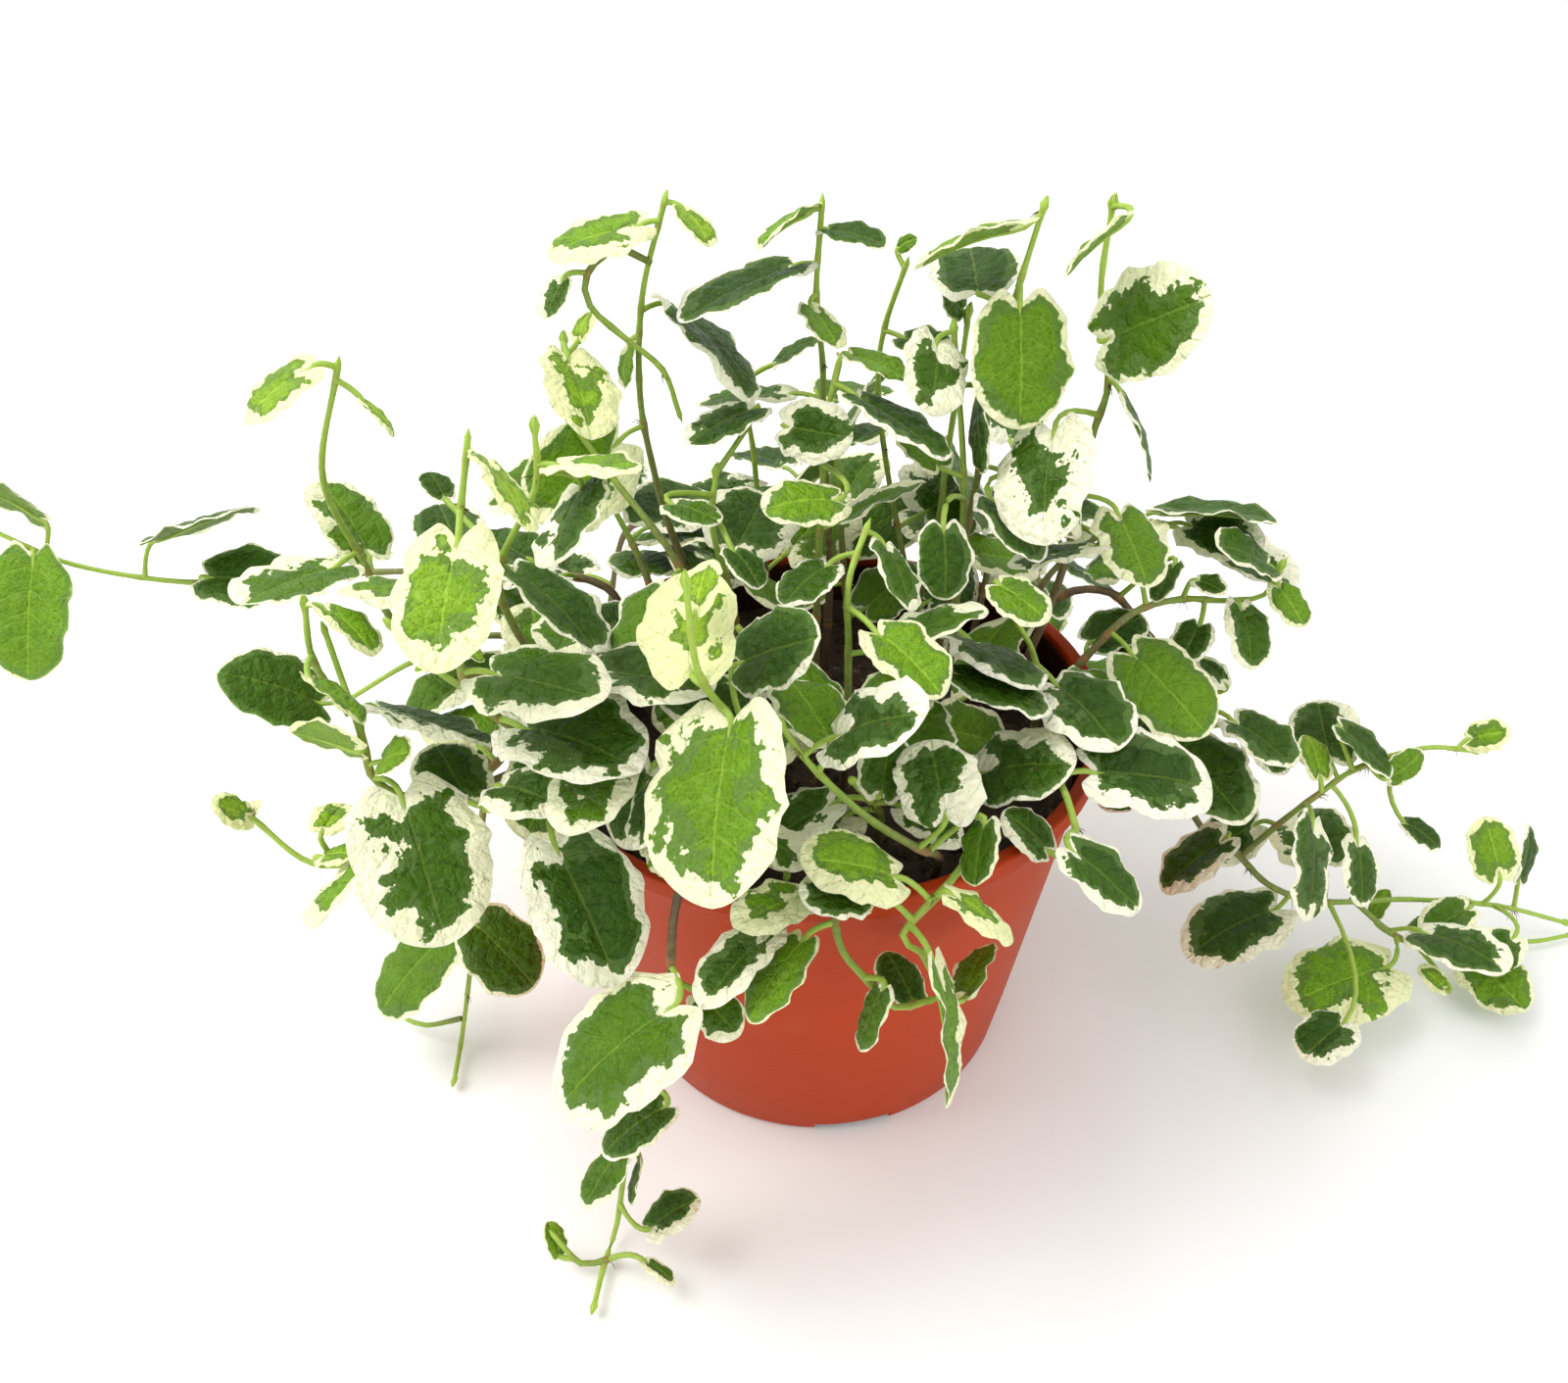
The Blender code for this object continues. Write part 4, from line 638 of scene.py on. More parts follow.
    },
    "crown_low_right": {
        "ways": [[(14, -10, 57), (16, -14, 82), (17, -19, 97), (18, -24, 106)]],
        "rule": 5,
        "leaves": [],
    },
    "crown_low_left": {
        "ways": [[(-26, 2, 57), (-34, 2, 84), (-41, 0, 100), (-47, -3, 110)]],
        "rule": 6,
        "leaves": [],
    },
    "right_trail": {
        "ways": [
            [
                (35, 16, 57), (41, 17, 76), (48, 17, 87), (57, 16, 88), (63, 16, 81), (71, 12, 71),
                (74, 6, 58), (75, -2, 46),
                (83, -6, 40), (90, -8, 33), (100, -7, 27), (112, -4, 23), (125, 0, 19), (147, 4, 12),
                (165, 6, 4),
            ],
            [(110, -4, 24), (118, -6, 17), (126, -5, 11), (140, 0, 6), (156, 2, 2.5), (166, 4, 2)],
            [(84, -6, 39), (92, -4, 47), (98, -2, 51), (106, 1, 55), (119, 3, 58), (130, 4, 56)],
        ],
        "rule": 4,
        "leaves": [
            ((67, 12, 96), (63, 6, 92), 40, (0.1, 0.1), 0.8),
            ((57, 14, 80), (64, 6, 79), 20, (0.1, 0.2), 0.8),
            ((64, 12, 74), (69, 3, 70), 0, (0.4, 0.3), 0.8),
            ((70, 2, 62), (79, -16, 57), 5, (0.1, 0.1), 0.8),
            ((67, 8, 63), (59, 1, 62), -15, (0.1, 0.2), 0.9),
            ((81, 0, 60), (68, -3, 54), 0, (0.1, 0.3), 0.9),
            ((79, -9, 47), (67, -13, 37), 15, (0.4, 0.2), 0.9),
            ((80, 2, 64), (88, -10, 62), -5, (0.1, 0.3), 0.8),
            ((98, -1, 55), (97, 7, 59), 20, (0.2, 0.2), 0.1),
            ((102, 4, 60), (111, -3, 53), -10, (0.1, 0.1), 0.8),
            ((112, 0, 56), (118, 0, 62), 30, (0.1, 0.3), 0.4),
            ((128, 4, 56), (133, 0, 61), 45, (0.3, 0.3), 0.2),
            ((95, -9, 50), (91, -24, 39), -55, (0.4, 0.2), 0.8),
            ((107, -5, 41), (106, -15, 33), -35, (0.3, 0.3), 0.8),
            ((120, 2, 12), (123, 5, 17), -30, (0.1, 0.1), 0.3),
            ((145, 4, 21), (143, 13, 30), -5, (0.2, 0.3), 0.2),
            ((153, 9, 15), (156, 17, 24), 60, (0.3, 0.1), 0.8),
            ((92, -10, 28), (73, -17, 22), 5, (0.3, 0.2), 0.9),
            ((117, -13, 13), (95, -19, 9), -5, (0.5, 0.3), 0.3),
            ((103, -27, 8), (93, -34, 6), 0, (0.5, 0.2), 0.9),
            ((79, 7, 67), (74, 12, 70), 0, (0.4, 0.3), 0.8),
            ((86, 8, 57), (93, 2, 52), 10, (0.3, 0.3), 0.8),
            ((70, 5, 52), (57, 4, 45), 0, (0.1, 0.1), 1.0),
            ((88, -1, 43), (77, -2, 36), -10, (0.5, 0.1), 0.9),
            ((119, 1, 40), (125, -4, 37), 0, (0.1, 0.2), 0.9),
            ((125, -5, 14), (135, -8, 20), 5, (0.1, 0.1), 0.6),
            ((146, -6, 13), (138, -11, 8), -5, (0.4, 0.2), 0.7),
            ((134, -6, 19), (125, -8, 13), -20, (0.3, 0.3), 0.6),
            ((128, -17, 10), (124, -12, 12), 0, (0.4, 0.4), 0.1),
        ],
    },
    "right_high": {
        "ways": [
            [(42, 0, 57), (46, 3, 74), (53, 5, 84), (60, 8, 89), (70, 13, 88), (79, 15, 86), (86, 15, 87),
             (88, 15, 93)],
        ],
        "rule": 3,
        "leaves": [
            ((86, 16, 93), (74, 12, 100), -15, (0.1, 0.1), 0.7),
            ((88, 14, 91), (91, 6, 87), 0, (0.1, 0.2), 0.3),
            ((81, 13, 86), (81, 2, 79), -20, (0.2, 0.3), 0.7),
            ((72, 13, 92), (76, 8, 92), 15, (0.3, 0.3), 0.8),
            ((73, 10, 84), (68, 2, 81), 0, (0.2, 0.3), 0.9),
        ],
    },
    "back_trail_right": {
        "ways": [[(22, 31, 57), (25, 35, 75), (31, 42, 86), (39, 50, 85), (47, 59, 77), (54, 67, 60),
                  (60, 76, 38), (67, 84, 14), (76, 94, 2.5), (90, 100, 2)]],
        "rule": 9,
        "leaves": [],
    },
    "back_trail_left": {
        "ways": [[(-18, 33, 57), (-21, 37, 75), (-27, 44, 86), (-34, 53, 85), (-40, 61, 77),
                  (-45, 69, 58), (-50, 77, 34), (-54, 85, 12), (-60, 95, 2.5), (-72, 102, 2)]],
        "rule": 9,
        "leaves": [],
    },
    "back_over": {
        "ways": [[(4, 36, 57), (4, 44, 74), (3, 54, 87), (0, 66, 88), (-4, 76, 76), (-6, 82, 62)]],
        "rule": 7,
        "leaves": [],
    },
    "back_up_left": {
        "ways": [[(-24, 14, 57), (-31, 24, 88), (-38, 30, 104), (-43, 32, 114)]],
        "rule": 5,
        "leaves": [],
    },
    "back_up_mid": {
        "ways": [[(9, 28, 57), (7, 36, 90), (6, 41, 106), (3, 43, 117)]],
        "rule": 5,
        "leaves": [],
    },
    "back_up_right": {
        "ways": [[(30, 22, 57), (36, 30, 86), (40, 36, 102), (43, 37, 112)]],
        "rule": 5,
        "leaves": [],
    },
    "back_side_right": {
        "ways": [[(38, 18, 57), (41, 21, 74), (48, 27, 86), (62, 34, 92), (74, 36, 90), (86, 38, 80)]],
        "rule": 6,
        "leaves": [],
    },
}


def circle(count, start=0.0):
    """The cosine and sine of even turns round a circle."""
    angles = [TURN * (i + start) / count for i in range(count)]
    return [(math.cos(angle), math.sin(angle)) for angle in angles]


def drawn(chance, spans):
    """A vector with each part drawn from its own span."""
    return Vector([chance.uniform(*span) for span in spans])


def smooth_way(points, step):
    """A smooth curve through the points, with a point about every step."""
    knots = [Vector(point) for point in points]
    knots = [knots[0] * 2 - knots[1]] + knots + [knots[-1] * 2 - knots[-2]]
    way = []
    for before, start, end, after in zip(knots, knots[1:], knots[2:], knots[3:]):
        pieces = max(1, round((end - start).length / step))
        bend = 2 * before - 5 * start + 4 * end - after
        twist = 3 * start - before - 3 * end + after
        for i in range(pieces):
            t = i / pieces
            way.append(0.5 * (2 * start + (end - before) * t + bend * t * t + twist * t * t * t))
    return way + [knots[-2]]


def way_runs(way):
    """The distance from the foot to each point of a way."""
    runs = [0.0]
    for start, end in zip(way, way[1:]):
        runs.append(runs[-1] + (end - start).length)
    return runs


def nearest_on_ways(ways, point):
    """The place on the shoot's stems that lies nearest to the point."""
    places = []
    for way in ways:
        for start, end in zip(way, way[1:]):
            span = end - start
            share = max(0.0, min(1.0, (point - start).dot(span) / span.length_squared))
            places.append(start + span * share)
    return min(places, key=lambda place: (point - place).length)


class Leaf(namedtuple("Leaf", "shoot base tip turn pale age width arch fold wave phase")):
    """A leaf of the plan: where its blade lies, how it is bent, how pale and how old it is."""

    @cached_property
    def length(self):
        return (self.tip - self.base).length

    @cached_property
    def axes(self):
        """The axes of the blade: along its midrib, across it, and out of its upper face."""
        along = (self.tip - self.base).normalized()
        normal = UP - along * along.z
        if normal.length < 0.2:
            normal = Vector((0, -1, 0)) + along * along.y
        normal.normalize()
        normal.rotate(Matrix.Rotation(math.radians(self.turn), 3, along))
        return along, along.cross(normal), normal

    def foot(self, ways):
        """Where the leaf's stalk leaves the stem."""
        return nearest_on_ways(ways, self.base - self.axes[0] * FOOT_BEHIND)

    def changed(self, lift, swing, turn, size):
        """The leaf lifted in mm, swung about the vertical, turned about its midrib and shrunk."""
        base = self.base + UP * lift
        reach = (self.tip - self.base) * size
        reach.rotate(Matrix.Rotation(math.radians(swing), 3, "Z"))
        return self._replace(base=base, tip=base + reach, turn=self.turn + turn)


def half_width(s):
    """The half breadth of a heart-based blade as a share of its greatest, s from base to tip."""
    reach = (WIDEST - s) / FOOT_REACH if s < WIDEST else (s - WIDEST) / (1 - WIDEST)
    return max(0.0, 1 - reach ** 2.6) ** 0.6


def lobe_back(leaf, s, t):
    """How far the base lobes of the blade reach back, in mm."""
    return BLADE_LOBE * leaf.length * abs(t) ** 1.5 * (1 - s) ** 3


def blade_point(leaf, s, t):
    """A point of the blade's middle face, s from base to tip and t from its left edge to its right."""
    along, across, normal = leaf.axes
    length = leaf.length
    edge = 1 + EDGE_SWING * math.sin(15 * s + leaf.phase + 2.2 * math.copysign(1, t)) * (1 - s)
    half = 0.5 * length * leaf.width * half_width(s) * edge
    arch = leaf.arch * length * 4 * s * (1 - s)
    fold = leaf.fold * abs(t) * half
    wave = leaf.wave * length * math.sin(11 * s + leaf.phase + (1.7 if t > 0 else 0)) * t * t * (1 - 0.4 * s)
    rise = normal * (arch + fold + wave)
    return leaf.base + along * (s * length - lobe_back(leaf, s, t)) + across * (t * half) + rise


def stalk_line(leaf, ways, pieces):
    """The stalk's points from the stem's middle towards the blade's base, which it meets along the midrib."""
    foot = leaf.foot(ways)
    reach = (leaf.base - foot).length
    bend = leaf.base - leaf.axes[0] * reach * STALK_BACK + UP * reach * STALK_RISE
    shares = [i / pieces for i in range(pieces)]
    return [foot * (1 - t) ** 2 + bend * 2 * t * (1 - t) + leaf.base * t * t for t in shares]


class Shape:
    """Vertices and triangles of one closed body while it is put together."""

    def __init__(self):
        self.points = []
        self.faces = []

    def add(self, point):
        self.points.append(Vector(point))
        return len(self.points) - 1

    def ring(self, centre, direction, radius, sides, upright=UP):
        """A ring of points round the centre, square to the direction."""
        across = direction.cross(upright)
        if across.length < 0.05:
            across = direction.cross(Vector((0, 1, 0)))
        across.normalize()
        other = direction.cross(across).normalized()
        return [self.add(centre + (across * c + other * s) * radius) for c, s in circle(sides)]

    def rings(self, line, radii, sides):
        """A ring round each point of a line."""
        stations = zip(line, radii, [line[0], *line], [*line[1:], line[-1]])
        return [self.ring(point, (after - before).normalized(), radius, sides, STEM_UPRIGHT)
                for point, radius, before, after in stations]

    def turned(self, profile, sides):
        """A ring round the Z axis for each radius and height of a profile."""
        return [[self.add((radius * c, radius * s, height)) for c, s in circle(sides)]
                for radius, height in profile]

    def bridge(self, low, high):
        """Triangles between two rings of the same number of points."""
        for i in range(len(low)):
            j = (i + 1) % len(low)
            self.faces += [(low[i], low[j], high[j]), (low[i], high[j], high[i])]

    def fan(self, ring, apex=None):
        """Closes a ring with a point, or flat over its own points."""
        if apex is None:
            self.faces += [(ring[0], ring[i], ring[i + 1]) for i in range(1, len(ring) - 1)]
        else:
            self.faces += [(ring[i], ring[(i + 1) % len(ring)], apex) for i in range(len(ring))]

    def skin(self, rings, foot=None, tip=None):
        """Triangles over a row of rings, closed at both ends."""
        for low, high in zip(rings, rings[1:]):
            self.bridge(low, high)
        self.fan(rings[0][::-1], foot)
        self.fan(rings[-1], tip)


def chain_triangles(side, middle):
    """Triangles between a blade's edge and its midrib, two lines of (share, index) that end in one tip."""
    faces = []
    i = j = 0
    while i < len(side) - 1 or j < len(middle) - 1:
        on_side = j == len(middle) - 1 or (i < len(side) - 1 and side[i + 1][0] <= middle[j + 1][0])
        following = side[i + 1] if on_side else middle[j + 1]
        face = (side[i][1], following[1], middle[j][1])
        if len(set(face)) == 3:
            faces.append(face)
        i, j = (i + 1, j) if on_side else (i, j + 1)
    return faces


def blade_shape(leaf, line, thickness, radius):
    """A leaf of the plan: the blade with a flat rim, and its three-sided stalk growing out of its base."""
    shape = Shape()
    along, across, normal = leaf.axes
    stations, midrib = MIDDLE_STATIONS, MIDDLE_MIDRIB
    if leaf.length > LARGE_BLADE:
        stations, midrib = LARGE_STATIONS, LARGE_MIDRIB
    elif leaf.length < SMALL_BLADE:
        stations = SMALL_STATIONS
    half = normal * thickness * 0.5
    roots = {side: shape.add(leaf.base + half + across * radius * 0.9 * side) for side in (-1, 1)}
    bottom = shape.add(leaf.base - half - normal * max(0.0, radius - thickness * 0.5))
    rims = {}
    for top, offset in ((True, half), (False, -half)):
        middle = [(s, shape.add(blade_point(leaf, s, 0.0) + offset)) for s in (*midrib, 1.0)]
        for side in (-1, 1):
            edge = [(s, shape.add(blade_point(leaf, s, side) + offset)) for s in stations] + middle[-1:]
            root = roots[side] if top else bottom
            faces = chain_triangles(edge, [(0.0, root)] + middle)
            shape.faces += [face[::-1] for face in faces] if top == (side == -1) else faces
            rims[top, side] = [root] + [index for _, index in edge]
        if top:
            shape.faces.append((roots[-1], roots[1], middle[0][1]))
    for side in (-1, 1):
        upper, lower = rims[True, side], rims[False, side]
        for i in range(len(upper) - 1):
            shape.fan((upper[i], lower[i], lower[i + 1], upper[i + 1])[::side])
    ring = [roots[-1], roots[1], bottom]
    offsets = [shape.points[index] - leaf.base for index in ring]
    for place, before in zip(line[::-1], [leaf.base] + line[::-1]):
        turned = (before - place).normalized()
        spin = along.rotation_difference(turned)
        along = turned
        offsets = [spin @ offset for offset in offsets]
        following = [shape.add(place + offset) for offset in offsets]
        shape.bridge(following, ring)
        ring = following
    shape.fan(ring[::-1])
    return shape


def change_cost(change):
    """How much a change alters a leaf."""
    lift, swing, turn, size = change
    return abs(lift) / 2 + abs(swing) / 14 + abs(turn) / 20 + (1 - size) * 9


class Guard:
    """Keeps blades clear of one another, of the stems, the pot, the soil and the floor."""

    def __init__(self):
        self.kept = []
        self.changes = sorted(product(LIFTS, SWINGS, TURNS, SIZES), key=change_cost)

    def box_of(self, shape):
        axes = list(zip(*shape.points))
        return [min(axis) for axis in axes], [max(axis) for axis in axes]

    def keep(self, shoot, kind, shape):
        tree = BVHTree.FromPolygons(shape.points, shape.faces)
        self.kept.append((shoot, kind, *self.box_of(shape), tree))

    def clear(self, shoot, shape, blade):
        """Whether the leaf is clear of all else; its own stems need be clear of the blade only."""
        for point in shape.points:
            in_pot = math.hypot(point.x, point.y) < POT_RIM_RADIUS
            if point.z < FLOOR_GAP or (in_pot and point.z < SOIL_TOP + CLEAR_OF_SOIL):
                return False
        low, high = self.box_of(shape)
        whole = BVHTree.FromPolygons(shape.points, shape.faces)
        alone = BVHTree.FromPolygons(blade.points, blade.faces)
        for other, kind, other_low, other_high, tree in self.kept:
            if any(low[k] > other_high[k] or high[k] < other_low[k] for k in range(3)):
                continue
            mine = alone if (other, kind) == (shoot, "stem") else whole
            if mine.overlap(tree):
                return False
        return True

    def settle(self, leaf, ways, leaves):
        """Adds the leaf with the first change that is clear of all that is there, if there is one."""
        for change in self.changes:
            if change_cost(change) >= GREATEST_CHANGE:
                return
            moved = leaf.changed(*change)
            pieces = 2 if (moved.base - moved.foot(ways)).length > LONG_STALK else 1
            line = stalk_line(moved, ways, pieces)
            shape = blade_shape(moved, line, BLADE_THICKNESS + GUARD, STALK_RADIUS + GUARD * 0.5)
            blade = blade_shape(moved, [], BLADE_THICKNESS, STALK_RADIUS)
            if self.clear(leaf.shoot, shape, blade):
                self.keep(leaf.shoot, "leaf", blade_shape(moved, line, BLADE_THICKNESS, STALK_RADIUS))
                leaves.append(moved)
                return


def wall_outside(height):
    """The radius of the pot's outer wall at a height."""
    return POT_BASE_RADIUS + (POT_RIM_RADIUS - POT_BASE_RADIUS) * height / POT_HEIGHT


def wall_inside(height):
    """The radius of the pot's inner wall at a height."""
    share = (height - POT_FLOOR) / (POT_HEIGHT - POT_FLOOR)
    foot = POT_BASE_RADIUS - POT_WALL
    return foot + (POT_RIM_RADIUS - POT_WALL - foot) * share


def pot_guard():
    """The pot's wall as leaves keep clear of it, a little thicker than it is."""
    lip_foot = POT_HEIGHT - POT_LIP_HEIGHT
    profile = (
        (POT_BASE_RADIUS + POT_GUARD, -POT_GUARD),
        (wall_outside(lip_foot) + POT_GUARD, lip_foot - POT_GUARD),
        (POT_LIP_RADIUS + POT_GUARD, lip_foot + LIP_ROUNDING - POT_GUARD),
        (POT_LIP_RADIUS + POT_GUARD, POT_HEIGHT + POT_GUARD),
        (POT_RIM_RADIUS - POT_WALL - POT_GUARD, POT_HEIGHT + POT_GUARD),
        (POT_BASE_RADIUS - POT_WALL - POT_GUARD, POT_FLOOR),
    )
    shape = Shape()
    rings = shape.turned(profile, POT_GUARD_SIDES)
    for low, high in zip(rings, rings[1:] + rings[:1]):
        shape.bridge(low, high)
    return shape


def stem_guard(way):
    """A tapered stem along the way, as leaves keep clear of it, with a pointed bud at its tip."""
    shape = Shape()
    last = len(way) - 1
    taper = STEM_RADIUS_TIP - STEM_RADIUS_FOOT
    radii = [STEM_RADIUS_FOOT + taper * i / last + STEM_GUARD for i in range(last + 1)]
    rings = shape.rings(way, radii, STEM_SIDES)
    end = (way[-1] - way[-2]).normalized()
    shape.skin(rings, tip=shape.add(way[-1] + end * (BUD_LENGTH + STEM_GUARD)))
    return shape


def drawn_leaf(shoot, base, tip, turn, pale, age, chance):
    """A leaf with its own breadth, arch, fold, wave and phase."""
    own = [chance.uniform(*span) for span in LEAF_SPANS]
    return Leaf(shoot, Vector(base), Vector(tip), turn, pale, age, *own)


def rule_places(ways, share):
    """Where leaves can stand by rule: even steps along the stems, with the direction of the stem there."""
    places = []
    for way in ways:
        runs = way_runs(way)
        goal = FIRST_LEAF
        for start, end, run in zip(way, way[1:], runs):
            span = (end - start).length
            while goal <= min(run + span, runs[-1] * share):
                places.append((start + (end - start) * ((goal - run) / span), (end - start).normalized()))
                goal += LEAF_SPACING
    return places


def rule_leaves(name, ways, count, share, chance):
    """Leaves by rule: spread along the stems, on alternating sides."""
    places = rule_places(ways, share)
    leaves = []
    chance.shuffle(places)
    for i, (place, direction) in enumerate(places[: count * 2]):
        outward = Vector((place.x, place.y, 0))
        outward = outward.normalized() if outward.length > 1 else Vector((1, 0, 0))
        side = direction.cross(UP)
        side = side.normalized() if side.length > 0.2 else outward.cross(UP)
        sign = 1 if i % 2 else -1
        heading = side * sign * chance.uniform(*RULE_ASIDE) + outward * chance.uniform(*RULE_OUTWARD)
        heading.z = 0
        heading = (heading.normalized() + UP * chance.uniform(*RULE_RISE)).normalized()
        length = chance.uniform(*RULE_LENGTH)
        base = place + heading * length * STALK_SHARE + RULE_LIFT
        if base.z < RULE_LOWEST:
            base.z = RULE_LOWEST
            heading.z = max(heading.z, 0.0)
            heading.normalize()
        pale = (chance.choice(LEFT_PALES), chance.choice(RIGHT_PALES))
        turn = chance.uniform(*RULE_TURN)
        age = chance.uniform(*RULE_AGE)
        leaves.append(drawn_leaf(name, base, base + heading * length, turn, pale, age, chance))
    return leaves


def plan_plant():
    """All leaves in their final places: {shoot: leaves}."""
    guard = Guard()
    guard.keep("pot", "pot", pot_guard())
    ways = {name: [smooth_way(way, STEM_STEP) for way in shoot["ways"]] for name, shoot in SHOOTS.items()}
    leaves = {name: [] for name in SHOOTS}
    for name in SHOOTS:
        for way in ways[name]:
            guard.keep(name, "stem", stem_guard(way))
    for name, shoot in SHOOTS.items():
        chance = random.Random(SEED + len(SHOOTS) + sum(map(ord, name)))
        for base, tip, turn, pale, age in shoot["leaves"]:
            leaf = drawn_leaf(name, base, tip, turn, pale, age, chance)
            guard.settle(leaf, ways[name], leaves[name])
    for name, shoot in SHOOTS.items():
        chance = random.Random(SEED * 3 + sum(map(ord, name)))
        share = LAST_RULE_SHARE if shoot["leaves"] else 1.0
        full = len(leaves[name]) + shoot["rule"]
        for leaf in rule_leaves(name, ways[name], shoot["rule"], share, chance):
            taken = any((leaf.base - other.base).length < TAKEN_NEAR for other in leaves[name])
            if len(leaves[name]) < full and not taken:
                guard.settle(leaf, ways[name], leaves[name])
    return leaves


def link_object(name, data):
    """A new object in the scene."""
    thing = bpy.data.objects.new(name, data)
    bpy.context.scene.collection.objects.link(thing)
    return thing


class Growth(Shape):
    """The fine body of a shoot, with what its materials need to know at every point."""

    def __init__(self):
        super().__init__()
        self.slots = []
        self.spots = []
        self.traits = []

    def mark(self, spot, rim=0.0, pale=0.0, age=0.5, veins=0.0, count=0):
        """Notes the traits of a count of points, or of all that were added since the last call."""
        fresh = count or len(self.points) - len(self.spots)
        self.spots += [spot] * fresh
        self.traits += [(rim, pale, age, veins)] * fresh

    def fill(self, slot):
        """Gives the material slot to every face that was added since the last call."""
        self.slots += [slot] * (len(self.faces) - len(self.slots))

    def marked_rings(self, line, radii, sides, own, rims, ages):
        """A ring round each point of a line, with its distance from the foot, its rim and its age."""
        rings = self.rings(line, radii, sides)
        for run, rim, age in zip(way_runs(line), rims, ages):
            self.mark((run, 0.0, own), rim, age=age, count=sides)
        return rings

    def tube(self, line, radii, sides, slot, own, age=0.0):
        """A closed tube along a line of points, with its own radius at each."""
        self.skin(self.marked_rings(line, radii, sides, own, repeat(0.0), repeat(age)))
        self.fill(slot)

    def to_object(self, name, materials):
        """The grown body as an object in metres, kept inside the solids' box."""
        mesh = bpy.data.meshes.new(name)
        points = np.clip(np.array(self.points, float) * MM, solid_box[0], solid_box[1])
        mesh.from_pydata(points.tolist(), [], self.faces)
        for material in materials:
            mesh.materials.append(material)
        mesh.polygons.foreach_set("material_index", self.slots)
        spots = mesh.attributes.new("spot", "FLOAT_VECTOR", "POINT")
        spots.data.foreach_set("vector", np.array(self.spots, float).ravel())
        for trait, values in zip(("rim", "pale", "age", "veins"), zip(*self.traits)):
            layer = mesh.attributes.new(trait, "FLOAT", "POINT")
            layer.data.foreach_set("value", values)
        mesh.shade_smooth()
        mesh.set_sharp_from_angle(angle=math.radians(LEAF_SHARP))
        return link_object(name, mesh)


def vein_count(s, t):
    """How many side veins lie between the blade's base and the point, slanting up towards the edge."""
    return SIDE_VEINS * (s - VEIN_SLANT * abs(t) ** 1.3 * (1 - 0.3 * s)) + 0.5


def lobe_change(leaf, s, t):
    """How far the rounded base lobes reach back beyond the plain blade's, in mm."""
    rounded = LOBE_REACH * math.sin(0.86 * math.pi * min(1.0, abs(t)) ** 1.2)
    return leaf.length * (rounded - BLADE_LOBE * abs(t) ** 1.5) * (1 - s) ** 3


def flat_place(leaf, s, t):
    """The point laid out flat: mm along the midrib and mm across it."""
    back = lobe_back(leaf, s, t) + lobe_change(leaf, s, t)
    return s * leaf.length - back, t * 0.5 * leaf.length * leaf.width * half_width(s)


def tooth(leaf, s, side):
    """How the edge stands out, above 0, or in, below 0, at a place on one side."""
    pace = 21 + 8 * math.sin(7 * leaf.phase)
    slow = math.sin(pace * s + 3 * leaf.phase + 1.3 * side)
    fast = 0.7 * math.sin(46 * s + 5 * leaf.phase - side)
    return slow + fast + 1.4 * noise.noise(Vector((7 * s, 5 * side, leaf.phase)))


def fine_point(leaf, s, t):
    """A point of the fine blade's middle face: puckered between the veins and rippled at the edge."""
    side = 1 if t > 0 else -1
    out = abs(t)
    wide = t * (1 + EDGE_TEETH * tooth(leaf, s, side) * (1 - s) ** 0.5)
    along, _, normal = leaf.axes
    bulge = abs(math.sin(math.pi * vein_count(s, t))) ** 0.8 - 0.5
    rise = PUCKER * bulge * (1 - out ** 6) * min(1.0, 3 * out)
    rise -= MIDRIB_GROOVE * math.exp(-(t / GROOVE_WIDTH) ** 2)
    rise += EDGE_RIPPLE * math.sin(21 * s + 2 * leaf.phase + 1.9 * side) * out ** 3
    rise -= EDGE_CURL * out ** 4
    cell = Vector((*flat_place(leaf, s, t), leaf.phase * 9)) * BLISTER_SCALE
    rise += BLISTER * noise.noise(cell) * min(1.0, 3 * out) * min(1.0, 4 * (1 - out))
    point = blade_point(leaf, s, wide) - along * lobe_change(leaf, s, wide)
    return point + normal * rise * leaf.length * min(1.0, 6 * (1 - s))


def edge_distances(flat, outline):
    """The distance of each flat point from the blade's outline."""
    spans = np.roll(outline, -1, axis=0) - outline
    lengths = np.maximum((spans ** 2).sum(axis=1), 1e-9)
    reach = flat[:, None, :] - outline[None, :, :]
    share = np.clip((reach * spans[None]).sum(axis=2) / lengths[None], 0, 1)
    gaps = reach - share[..., None] * spans[None]
    return np.sqrt((gaps ** 2).sum(axis=2)).min(axis=1)


